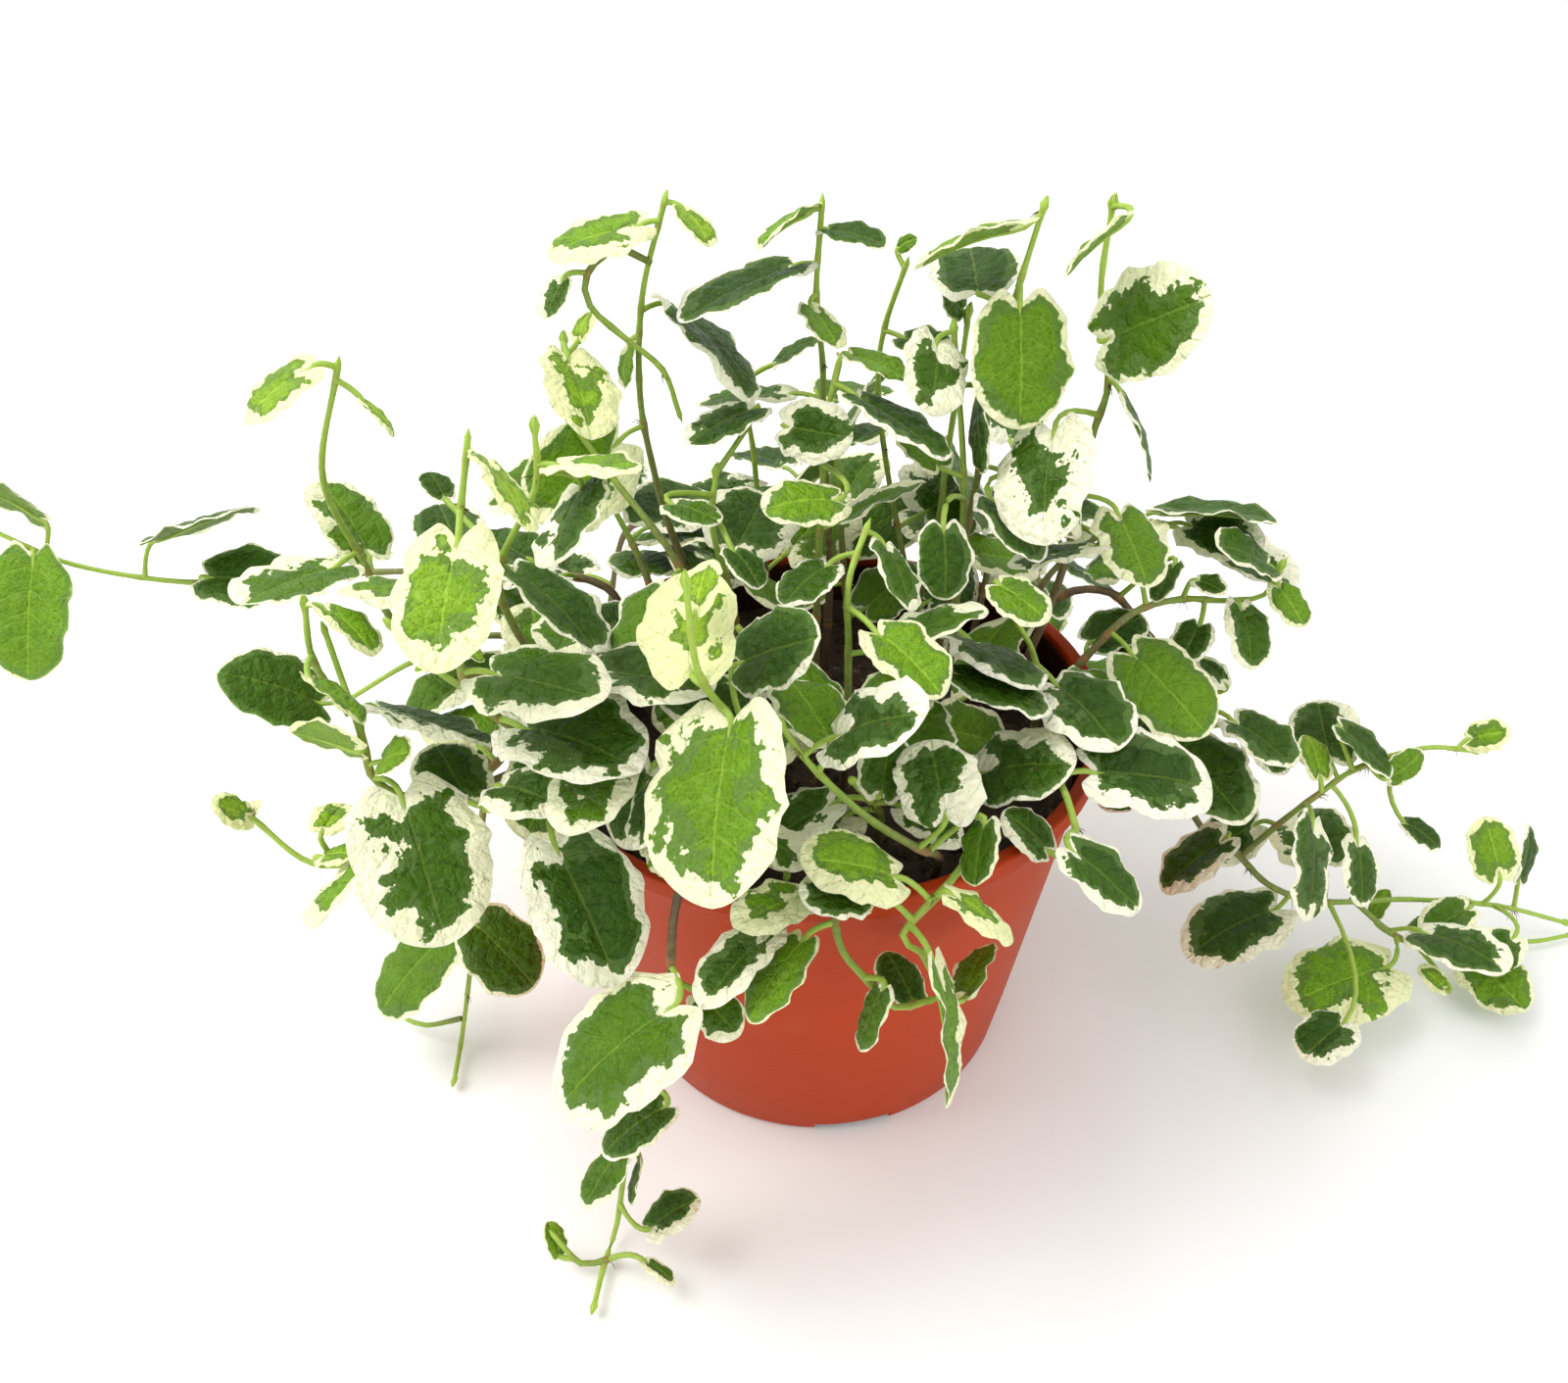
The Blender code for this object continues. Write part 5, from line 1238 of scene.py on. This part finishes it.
def grow_blade(growth, leaf, own):
    """The thin blade: two faces that meet in a sharp outline."""
    normal = leaf.axes[2]
    shares = [1 - (1 - i / BLADE_ROWS) ** ROW_SPREAD for i in range(BLADE_ROWS)]
    columns = [j / BLADE_COLUMNS for j in range(-BLADE_COLUMNS, BLADE_COLUMNS + 1)]
    width = len(columns)
    cells = [(s, t) for s in shares for t in columns] + [(1.0, 0.0)]
    flat = np.array([flat_place(leaf, s, t) for s, t in cells])
    left = range(0, BLADE_ROWS * width, width)
    right = range(width - 1, BLADE_ROWS * width, width)
    outline = [*left[::-1], *range(1, width - 1), *right, len(cells) - 1]
    rims = edge_distances(flat, flat[outline]) / (0.5 * leaf.length * leaf.width)
    sides = {1: [], -1: []}
    for number, ((s, t), place, rim) in enumerate(zip(cells, flat, rims)):
        middle = fine_point(leaf, s, t)
        thick = 0.5 * FINE_THICKNESS * min(1.0, EDGE_TAPER * rim)
        share = min(1.0, max(0.0, 0.5 + PALE_BLEND * t))
        pale = leaf.pale[0] * (1 - share) + leaf.pale[1] * share
        for side in (1, -1):
            if side == -1 and number in outline:
                sides[side].append(sides[1][number])
            else:
                sides[side].append(growth.add(middle + normal * thick * side))
                growth.mark((*place, own), rim, pale, leaf.age, vein_count(s, t))
    for side, slot in ((1, UPPER), (-1, LOWER)):
        rows = [sides[side][start: start + width] for start in left]
        for low, high in zip(rows, rows[1:] + [sides[side][-1:] * width]):
            for j in range(width - 1):
                corners = dict.fromkeys((low[j], low[j + 1], high[j + 1], high[j]))
                growth.faces.append(tuple(corners)[::side])
        growth.fill(slot)


def grow_stalk(growth, leaf, ways, own):
    """The leaf stalk, which runs on as the midrib under the blade."""
    normal = leaf.axes[2]
    line = stalk_line(leaf, ways, STALK_POINTS) + [leaf.base - normal * STALK_SUNK]
    line += [fine_point(leaf, s, 0.0) - normal * MIDRIB_SUNK for s in MIDRIB_SHARES]
    growth.tube(line, STALK_RADII, STALK_SIDES, STEM, own, STALK_AGE * leaf.age)


def node_runs(way, runs, feet):
    """Where a way has its nodes: at the leaves' feet, and at even steps between them."""
    nodes = []
    for foot in feet:
        gap, run = min(((point - foot).length, run) for point, run in zip(way, runs))
        if gap < STEM_RUN:
            nodes.append(run)
    step = NODE_SPACING
    while step < runs[-1] - NODE_FREE_TIP:
        if all(abs(step - other) > NODES_APART for other in nodes):
            nodes.append(step)
        step += NODE_SPACING
    return nodes


def grow_stem(growth, way, foot_radius, feet, own, chance, wood):
    """A stem with swollen, ringed nodes, rootlets at some of them, short hairs, and a pointed bud."""
    runs = way_runs(way)
    nodes = node_runs(way, runs, feet)
    woody = chance.uniform(*WOODINESS) * wood
    shares = [run / runs[-1] for run in runs]
    rims = [max([0.0] + [1 - abs(run - node) / NODE_REACH for node in nodes]) for run in runs]
    swells = [BETWEEN_NODES + NODE_SWELL * rim + STEM_UNEVEN * chance.uniform(-1, 1) for rim in rims]
    taper = FINE_TIP_RADIUS - foot_radius
    radii = [(foot_radius + taper * share) * swell for share, swell in zip(shares, swells)]
    ages = [woody * max(0.0, 1 - 1.1 * share) ** 0.8 for share in shares]
    rings = growth.marked_rings(way, radii, FINE_SIDES, own, rims, ages)
    end = (way[-1] - way[-2]).normalized()
    collar_place = way[-1] + end * FINE_BUD * COLLAR_SHARE
    collar = growth.ring(collar_place, end, FINE_TIP_RADIUS, FINE_SIDES, STEM_UPRIGHT)
    growth.skin(rings + [collar], tip=growth.add(way[-1] + end * FINE_BUD))
    growth.mark((runs[-1], 0.0, own), age=BUD_AGE)
    growth.fill(STEM)
    grow_bracts(growth, way[-1], end, own, chance)
    grow_hairs(growth, rings, way, own, chance)
    for node in nodes:
        if chance.random() < ROOTLET_SHARE:
            place = min(zip(way, runs), key=lambda item: abs(item[1] - node))[0]
            grow_rootlets(growth, place, own, chance)


def grow_bracts(growth, tip, end, own, chance):
    """Two small papery scales that open round the bud."""
    aside = end.orthogonal().normalized()
    turn = chance.uniform(*BRACT_TURN)
    for k in range(2):
        out = Matrix.Rotation(turn + math.pi * k, 3, end) @ aside
        places = ((-0.9, 0.3), (0.6, 0.5), (1.8 + 0.4 * k, 0.3))
        line = [tip + end * ahead + out * beside for ahead, beside in places]
        growth.tube(line, BRACT_RADII, BRACT_SIDES, STEM, own, BUD_AGE)


def grow_hairs(growth, rings, way, own, chance):
    """Short stiff hairs, thin three-sided spikes that stand out from the stem."""
    for ring, centre in zip(rings, way):
        for _ in range(HAIRS_PER_RING):
            foot = growth.points[chance.choice(ring)]
            out = (foot - centre).normalized()
            tip = foot + (out + drawn(chance, HAIR_LEAN)).normalized() * chance.uniform(*HAIR_LENGTH)
            base = growth.ring(foot - out * HAIR_ROOT, out, HAIR_RADIUS, HAIR_SIDES)
            growth.fan(base, growth.add(tip))
    growth.mark((0.0, 0.0, own), age=HAIR_AGE)
    growth.fill(STEM)


def grow_rootlets(growth, place, own, chance):
    """A tuft of dark climbing rootlets on one side of a node."""
    away = drawn(chance, ROOTLET_SIDE).normalized()
    for _ in range(chance.randint(*ROOTLETS)):
        heading = (away + drawn(chance, ROOTLET_SPREAD)).normalized()
        half = chance.uniform(*ROOTLET_LENGTH) * 0.5
        start = place + heading * 0.5
        bend = start + heading * half
        tip = bend + (heading - UP * 0.5).normalized() * half
        for point in (bend, tip):
            point.z = max(point.z, ROOTLET_LOWEST)
        growth.tube((start, bend, tip), ROOTLET_RADII, ROOTLET_SIDES, ROOT, own, ROOTLET_AGE)


def grow_shoot(name, leaves, materials):
    """One shoot with all it carries; it stands in for the solid of the same shoot."""
    growth = Growth()
    chance = random.Random(SEED * 7 + sum(map(ord, name)))
    ways = [smooth_way(points, STEM_RUN) for points in SHOOTS[name]["ways"]]
    for leaf in leaves:
        own = chance.uniform(*OWN_NUMBERS)
        grow_blade(growth, leaf, own)
        grow_stalk(growth, leaf, ways, own)
    feet = [leaf.foot(ways) for leaf in leaves]
    for k, way in enumerate(ways):
        foot_radius, wood = (TWIG_RADIUS, TWIG_WOOD) if k else (FINE_FOOT_RADIUS, 1.0)
        grow_stem(growth, way, foot_radius, feet, chance.uniform(*OWN_NUMBERS), chance, wood)
    thing = growth.to_object("leafy_" + name, materials)
    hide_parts("shoot_" + name)
    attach(thing, "root")


class Value:
    """A value that a material works out at every point, for use in plain sums."""

    def __init__(self, paint, socket):
        self.paint = paint
        self.socket = socket

    def __add__(self, other):
        return self.paint.math("ADD", self, other)

    def __sub__(self, other):
        return self.paint.math("SUBTRACT", self, other)

    def __rsub__(self, other):
        return self.paint.math("SUBTRACT", other, self)

    def __mul__(self, other):
        return self.paint.math("MULTIPLY", self, other)


class Paint:
    """Builds one material's nodes, each kept in a line or two."""

    def __init__(self, name):
        self.material = bpy.data.materials.new(name)
        self.material.use_nodes = True
        self.tree = self.material.node_tree

    def put(self, socket, value):
        """Links a value to the socket, or sets a plain one."""
        if isinstance(value, Value):
            self.tree.links.new(value.socket, socket)
        elif isinstance(value, tuple) and socket.type == "RGBA":
            socket.default_value = (*value, 1.0)
        else:
            socket.default_value = value

    def node(self, kind, output=0, **inputs):
        """A node with its settings by name, and its inputs by name or by the number after an underscore."""
        node = self.tree.nodes.new("ShaderNode" + kind)
        settings = {key: value for key, value in inputs.items() if hasattr(node, key)}
        for key, value in settings.items():
            setattr(node, key, value)
        for key, value in inputs.items():
            if key not in settings:
                self.put(node.inputs[int(key[1:]) if key[0] == "_" else key], value)
        return Value(self, node.outputs[output])

    def math(self, operation, first, second=0.0):
        return self.node("Math", operation=operation, _0=first, _1=second)

    def step(self, value, low, high):
        """A smooth step from 0 at low to 1 at high."""
        return self.node("MapRange", interpolation_type="SMOOTHSTEP", _0=value, _1=low, _2=high)

    def mix(self, share, first, second, blend="MIX"):
        return self.node("Mix", output=2, data_type="RGBA", blend_type=blend, _0=share, _6=first, _7=second)

    def ramp(self, value, stops):
        node = self.tree.nodes.new("ShaderNodeValToRGB")
        points = node.color_ramp.elements
        while len(points) < len(stops):
            points.new(0.5)
        for point, (place, color) in zip(points, stops):
            point.position = place
            point.color = (*color, 1.0)
        self.put(node.inputs[0], value)
        return Value(self, node.outputs[0])

    def noise(self, vector, scale, detail=2.0):
        return self.node("TexNoise", Vector=vector, Scale=scale, Detail=detail)

    def cells(self, vector, scale):
        """The distance from the nearest border between cells."""
        return self.node("TexVoronoi", feature="DISTANCE_TO_EDGE", Vector=vector, Scale=scale)

    def place(self):
        """The point's own place on the object, in metres."""
        return self.node("TexCoord", output=3)

    def part(self, vector, axis):
        return self.node("SeparateXYZ", output=axis, Vector=vector)

    def trait(self, name, output=2):
        """A trait that the mesh carries, as a number, or as a vector with output 1."""
        return self.node("Attribute", output=output, attribute_name=name)

    def bump(self, height, distance, strength, **before):
        return self.node("Bump", Height=height, Distance=distance, Strength=strength, **before)

    def done(self, inputs):
        """The material, with the shader's inputs by name."""
        for key, value in inputs.items():
            self.put(self.tree.nodes["Principled BSDF"].inputs[key], value)
        return self.material


def leaf_paint(name, upper):
    """The blade's skin: greens by age, an uneven cream edge, grey-green patches, veins and tiny cells;
    painted shade darkens the veins and cells of older upper faces.
    """
    paint = Paint(name)
    spot = paint.trait("spot", 1)
    rim = paint.trait("rim")
    age = paint.trait("age")
    broad = paint.noise(spot, 0.17, 1.0)
    jagged = paint.noise(spot, 0.55, 3.0)
    teeth = paint.noise(spot, 1.3, 1.0)
    fine = paint.noise(spot, 2.6, 2.0)
    green = paint.ramp(age + (broad - 0.5) * 0.35, GREENS)
    duller = paint.mix(1.0, green, (0.72, 0.78, 0.7), "MULTIPLY")
    green = paint.mix(paint.step(fine, 0.35, 0.75), green, duller)

    veins = paint.node("Math", operation="PINGPONG", _0=paint.trait("veins"), _1=0.5)
    middle = 1.0 - paint.step(paint.math("ABSOLUTE", paint.part(spot, 1)), 0.12, 0.42)
    line = paint.math("MAXIMUM", (1.0 - paint.step(veins, 0.02, 0.085)) * 0.55, middle)
    cells = paint.cells(spot, 1.15)
    net = 1.0 - paint.step(cells, 0.0, 0.16)
    pale_line = paint.mix(1.0, green, (0.14, 0.19, 0.03), "ADD")
    # Painted shade: on older upper faces the side veins and the borders of the tiny cells are darkened, as if
    # sunk in shadow.
    painted_groove_shade = paint.mix(1.0, green, (0.45, 0.50, 0.45), "MULTIPLY")
    side_line = paint.mix(paint.step(age, 0.3, 0.75), pale_line, painted_groove_shade) if upper else pale_line
    green = paint.mix(line * (0.62 if upper else 0.8), green, side_line)
    green = paint.mix(net * 0.3, green, side_line)
    green = paint.mix(middle * 0.4, green, pale_line)

    ragged = broad * 3.0 + jagged * 1.7 - 1.8 + teeth * 0.5
    reach = paint.trait("pale") * (ragged * 0.85) + 0.012
    grey = reach * 1.35 + broad * 0.26 - rim
    green = paint.mix(paint.step(grey, -0.03, 0.03) * 0.55, green, GREY_GREEN)
    if not upper:
        green = paint.mix(0.45, green, UNDERSIDE)
    cream = paint.mix(line * 0.25, paint.mix(age, CREAM_YOUNG, CREAM_OLD), CREAM_VEIN)
    color = paint.mix(paint.step(reach - rim, -0.018, 0.018), green, cream)
    stain = paint.step(paint.noise(spot, 0.42, 4.0), 0.74, 0.77)

    relief = (paint.cells(spot, 0.42) * 2.2 + cells * 0.7) * (1.0 if upper else -1.0)
    first = paint.bump(relief, 0.0006, 0.8)
    return paint.done({
        "Base Color": paint.mix(stain * 0.6, color, SPOT_BROWN),
        "Roughness": fine * 0.16 + (0.36 if upper else 0.52),
        "Normal": paint.bump(1.0 - line, 0.0003 if upper else -0.0003, 0.6, Normal=first),
        "Subsurface Weight": 0.18,
        "Subsurface Radius": (0.5, 1.0, 0.2),
        "Subsurface Scale": 0.0012,
        "Specular IOR Level": 0.2,
    })


def stem_paint():
    """Stems and stalks: green when young, brown and streaked when woody, with orange-brown ring scars."""
    paint = Paint("fig_stem")
    age = paint.trait("age")
    streaks = paint.noise(paint.place(), 900.0, 3.0)
    color = paint.ramp(age + (streaks - 0.5) * 0.4, STEM_COLORS)
    worn = paint.step(age, 0.1, 0.7) * 0.5 + 0.2
    color = paint.mix(paint.step(paint.trait("rim"), 0.45, 0.8) * worn, color, (0.30, 0.14, 0.035))
    flecks = paint.step(paint.noise(paint.trait("spot", 1), 1.4, 2.0), 0.62, 0.7)
    color = paint.mix(flecks * 0.3, color, (0.42, 0.36, 0.2))
    return paint.done({"Base Color": color, "Roughness": 0.55, "Normal": paint.bump(streaks, 0.0003, 0.5)})


def root_paint():
    """Climbing rootlets: dark brown and dry."""
    paint = Paint("fig_rootlet")
    color = paint.mix(paint.noise(paint.place(), 1500.0), (0.035, 0.018, 0.01), (0.13, 0.06, 0.025))
    return paint.done({"Base Color": color, "Roughness": 0.8})


def painted_inside_shade(paint, place):
    """How far the inside of the wall is darkened with painted shade: all the inside but its topmost edge."""
    height = paint.part(place, 2)
    level = paint.node("VectorMath", operation="MULTIPLY", _0=place, _1=(1.0, 1.0, 0.0))
    radius = paint.node("VectorMath", output=1, operation="LENGTH", _0=level)
    slope = (POT_RIM_RADIUS - POT_BASE_RADIUS) / POT_HEIGHT
    wall = height * slope + POT_BASE_RADIUS * MM
    inward = paint.step(wall - radius, 0.4 * POT_WALL * MM, 0.9 * POT_WALL * MM)
    above = paint.step(height, 0.6 * POT_FLOOR * MM, 0.95 * POT_FLOOR * MM)
    below = 1.0 - paint.step(height, (POT_HEIGHT - 2.2) * MM, (POT_HEIGHT - 0.4) * MM)
    return inward * above * (below * 0.94)


def pot_paint():
    """Moulded red-brown plastic: a soft gloss, faint turning lines, scuffs, a little dust, and painted shade
    that darkens the inside of the wall.
    """
    paint = Paint("pot_plastic")
    place = paint.place()
    cloud = paint.noise(place, 38.0, 4.0)
    color = paint.mix(cloud, (0.38, 0.034, 0.003), (0.45, 0.046, 0.006))
    dust = paint.step(paint.noise(place, 95.0, 6.0), 0.56, 0.78)
    color = paint.mix(dust * 0.09, color, (0.52, 0.17, 0.09))
    specks = paint.step(paint.noise(place, 420.0, 1.0), 0.70, 0.74)
    color = paint.mix(specks * 0.16, color, (0.10, 0.03, 0.015))
    # Painted shade: the inside of the wall, below its topmost edge, is darkened to near black.
    color = paint.mix(painted_inside_shade(paint, place), color, (0.010, 0.006, 0.004))
    lines = paint.math("SINE", paint.part(place, 2) * 5200.0)
    first = paint.bump(lines, 0.000006, 0.4)
    return paint.done({
        "Base Color": color,
        "Specular IOR Level": 0.14,
        "Roughness": cloud * 0.2 + 0.36,
        "Normal": paint.bump(paint.noise(place, 900.0, 2.0), 0.00006, 0.6, Normal=first),
    })


def soil_paint():
    """Moist peaty soil: near black, with paler bits of bark and fibre."""
    paint = Paint("peat")
    place = paint.place()
    color = paint.mix(paint.noise(place, 260.0, 5.0), (0.012, 0.008, 0.006), (0.075, 0.042, 0.024))
    bark = paint.step(paint.noise(place, 640.0, 1.0), 0.63, 0.68)
    color = paint.mix(bark * 0.6, color, (0.20, 0.11, 0.055))
    relief = paint.bump(paint.noise(place, 900.0, 3.0), 0.0006, 0.8)
    return paint.done({"Base Color": color, "Roughness": 0.93, "Normal": relief})


def floor_paint():
    """The plain pale floor."""
    paint = Paint("floor_white")
    color = paint.mix(paint.noise(paint.place(), 3.0), (0.90, 0.90, 0.89), (0.93, 0.93, 0.92))
    return paint.done({"Base Color": color, "Roughness": 0.6})


def arc(x, y, radius, first, last, steps=4):
    """Points of an arc in the profile's plane, in degrees."""
    angles = [math.radians(first + (last - first) * i / steps) for i in range(steps + 1)]
    return [(x + radius * math.cos(angle), y + radius * math.sin(angle)) for angle in angles]


def pot_profile():
    """The wall as (radius, height), up the outside, over the rolled lip and down the inside."""
    lip_foot = POT_HEIGHT - POT_LIP_HEIGHT
    neck = wall_outside(lip_foot)
    lip = POT_LIP_RADIUS - LIP_ROUNDING
    rim = POT_RIM_RADIUS - POT_WALL + RIM_ROUNDING
    inner = wall_inside(POT_FLOOR) - FLOOR_ROUNDING
    return [
        *arc(POT_BASE_RADIUS - FOOT_ROUNDING, FOOT_ROUNDING, FOOT_ROUNDING, -90, -12, 5),
        *[(wall_outside(z), z) for z in OUTER_HEIGHTS],
        (neck - 0.1, lip_foot - 0.5),
        (neck + 0.15, lip_foot),
        *arc(lip, lip_foot + 0.7, LIP_ROUNDING, -80, 0),
        *arc(lip, POT_HEIGHT - LIP_ROUNDING, LIP_ROUNDING, 0, 90),
        *arc(rim, POT_HEIGHT - RIM_ROUNDING, RIM_ROUNDING, 90, 180),
        *[(wall_inside(z), z) for z in INNER_HEIGHTS],
        *arc(inner, POT_FLOOR + FLOOR_ROUNDING, FLOOR_ROUNDING, 0, -90),
    ]


def plain_object(name, shape, material):
    """An object from a shape in millimetres."""
    mesh = bpy.data.meshes.new(name)
    mesh.from_pydata([point * MM for point in shape.points], [], shape.faces)
    mesh.materials.append(material)
    return link_object(name, mesh)


def notch_cutter(angle):
    """The flat box that lifts a stretch of the pot's bottom edge off the floor."""
    shape = Shape()
    across = Vector((-math.sin(angle), math.cos(angle), 0)) * FOOT_NOTCH_WIDTH * 0.5
    out = Vector((math.cos(angle), math.sin(angle), 0))
    corners = ((-1, -CUT_BEYOND), (1, -CUT_BEYOND), (1, FOOT_NOTCH_HEIGHT), (-1, FOOT_NOTCH_HEIGHT))
    reaches = (POT_BASE_RADIUS - FOOT_NOTCH_DEPTH, POT_BASE_RADIUS + FOOT_NOTCH_DEPTH)
    places = [[out * reach + across * side + UP * z for side, z in corners] for reach in reaches]
    shape.skin([[shape.add(place) for place in row] for row in places])
    return shape


def hole_cutter(angle):
    """The round bar that opens one drain hole."""
    shape = Shape()
    centre = Vector((math.cos(angle), math.sin(angle), 0)) * DRAIN_RING_RADIUS
    heights = (-CUT_BEYOND, POT_FLOOR + CUT_BEYOND)
    upright = Vector((0, 1, 0))
    shape.skin([shape.ring(centre + UP * z, UP, DRAIN_RADIUS, DRAIN_SIDES, upright) for z in heights])
    return shape


def cut(thing, shapes):
    """Takes the shapes away from the object."""
    for shape in shapes:
        tool = plain_object("cutter", shape, thing.data.materials[0])
        boolean = thing.modifiers.new("cut", "BOOLEAN")
        boolean.operation = "DIFFERENCE"
        boolean.solver = "EXACT"
        boolean.object = tool
        whole = thing.evaluated_get(bpy.context.evaluated_depsgraph_get())
        thing.data = bpy.data.meshes.new_from_object(whole)
        thing.modifiers.clear()
        bpy.data.objects.remove(tool, do_unlink=True)


def make_pot():
    """The pot, with its foot notches and drain holes cut out."""
    shape = Shape()
    profile = pot_profile()
    rings = shape.turned(profile, POT_SIDES)
    shape.skin(rings, shape.add((0, 0, profile[0][1])), shape.add((0, 0, profile[-1][1])))
    pot = plain_object("pot_wall", shape, pot_paint())
    first = math.radians(FOOT_NOTCH_FIRST)
    notches = [notch_cutter(first + TURN * i / FOOT_NOTCHES) for i in range(FOOT_NOTCHES)]
    holes = [hole_cutter(TURN * (i + 0.5) / DRAIN_HOLES) for i in range(DRAIN_HOLES)]
    cut(pot, notches + holes)
    pot.data.shade_smooth()
    pot.data.set_sharp_from_angle(angle=math.radians(POT_SHARP))
    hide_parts("pot")
    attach(pot, "root")


def soil_place(x, y):
    """A point of the soil's rough top."""
    rough = sum(share * noise.noise(Vector((x, y, layer)) * scale) for layer, scale, share in SOIL_LAYERS)
    return Vector((x, y, SOIL_TOP - SOIL_SUNK + SOIL_ROUGHNESS * rough))


def add_crumb(shape, centre, size, chance):
    """One lump of soil: a squashed, jagged ball."""
    spin = Euler([chance.uniform(*PHASES) for _ in range(3)]).to_matrix()
    squash = drawn(chance, CRUMB_SQUASH)

    def place(point):
        return shape.add(centre + spin @ (Vector(point) * squash) * size)

    rings = []
    for lift, width in CRUMB_RINGS:
        corners = [Vector((c * width, s * width, lift)) for c, s in circle(CRUMB_SIDES, 0.5 * (lift > 0))]
        rings.append([place(corner * chance.uniform(*CRUMB_JAGS)) for corner in corners])
    shape.skin(rings, *[place((0, 0, end)) for end in CRUMB_ENDS])


def make_soil():
    """The soil's filling with a rough top, and the crumbs that lie on it."""
    shape = Shape()
    foot = POT_FLOOR + SOIL_GAP
    shoulder = SOIL_TOP - SOIL_SHOULDER
    top_radius = wall_inside(SOIL_TOP) - SOIL_GAP
    rings = shape.turned([(wall_inside(z) - SOIL_GAP, z) for z in (foot, shoulder)], SOIL_SPOKES)
    for i in range(SOIL_RINGS):
        radius = top_radius * (1 - i / SOIL_RINGS)
        rings.append([shape.add(soil_place(radius * c, radius * s)) for c, s in circle(SOIL_SPOKES)])
    shape.skin(rings, shape.add((0, 0, foot)), shape.add(soil_place(0, 0)))
    chance = random.Random(SEED)
    for _ in range(CRUMBS):
        radius = (top_radius - CRUMB_MARGIN) * chance.random() ** 0.5
        angle = chance.uniform(0, TURN)
        size = CRUMB_SIZE[0] + (CRUMB_SIZE[1] - CRUMB_SIZE[0]) * chance.random() ** 2.5
        place = soil_place(radius * math.cos(angle), radius * math.sin(angle))
        add_crumb(shape, place + UP * size * CRUMB_RISE, size, chance)
    soil = plain_object("soil_crumbs", shape, soil_paint())
    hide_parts("soil")
    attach(soil, "root")


def make_stage():
    """The plain pale floor."""
    half = FLOOR_SIZE / 2
    mesh = bpy.data.meshes.new("floor")
    corners = [(-half, -half, 0), (half, -half, 0), (half, half, 0), (-half, half, 0)]
    mesh.from_pydata(corners, [], [(0, 1, 2, 3)])
    mesh.materials.append(floor_paint())
    floor = link_object("floor", mesh)
    floor.location.z = -FLOOR_DROP


def make_lights():
    """Soft studio light: square lamps that look at the plant, and an even surround."""
    for name, (place, size, power, color) in LIGHTS.items():
        lamp = bpy.data.lights.new(name, "AREA")
        lamp.size = size
        lamp.energy = power
        lamp.color = color
        thing = link_object(name, lamp)
        thing.location = place
        thing.rotation_euler = (LIGHT_TARGET - Vector(place)).to_track_quat("-Z", "Y").to_euler()
    world = bpy.data.worlds.new("surround")
    world.use_nodes = True
    background = world.node_tree.nodes["Background"]
    background.inputs["Color"].default_value = (1.0, 1.0, 1.0, 1.0)
    background.inputs["Strength"].default_value = SURROUND
    bpy.context.scene.world = world
    bpy.context.scene.view_settings.view_transform = "Standard"


def make_camera():
    """The camera of the photograph: from the front, looking down, a little rolled."""
    lens = bpy.data.cameras.new("camera")
    lens.lens = CAMERA_LENS
    lens.sensor_width = CAMERA_SENSOR
    lens.sensor_fit = "HORIZONTAL"
    lens.clip_start = 0.001
    camera = link_object("camera", lens)
    tilt = Matrix.Rotation(math.radians(90 - CAMERA_DOWN), 4, "X")
    roll = Matrix.Rotation(math.radians(CAMERA_ROLL), 4, "Z")
    camera.matrix_world = Matrix.Translation(CAMERA_PLACE) @ tilt @ roll
    bpy.context.scene.camera = camera


def main():
    make_camera()
    make_lights()
    make_stage()
    make_pot()
    make_soil()
    blades = [leaf_paint("fig_leaf", True), leaf_paint("fig_leaf_underside", False)]
    materials = blades + [stem_paint(), root_paint()]
    for name, leaves in plan_plant().items():
        grow_shoot(name, leaves, materials)


main()
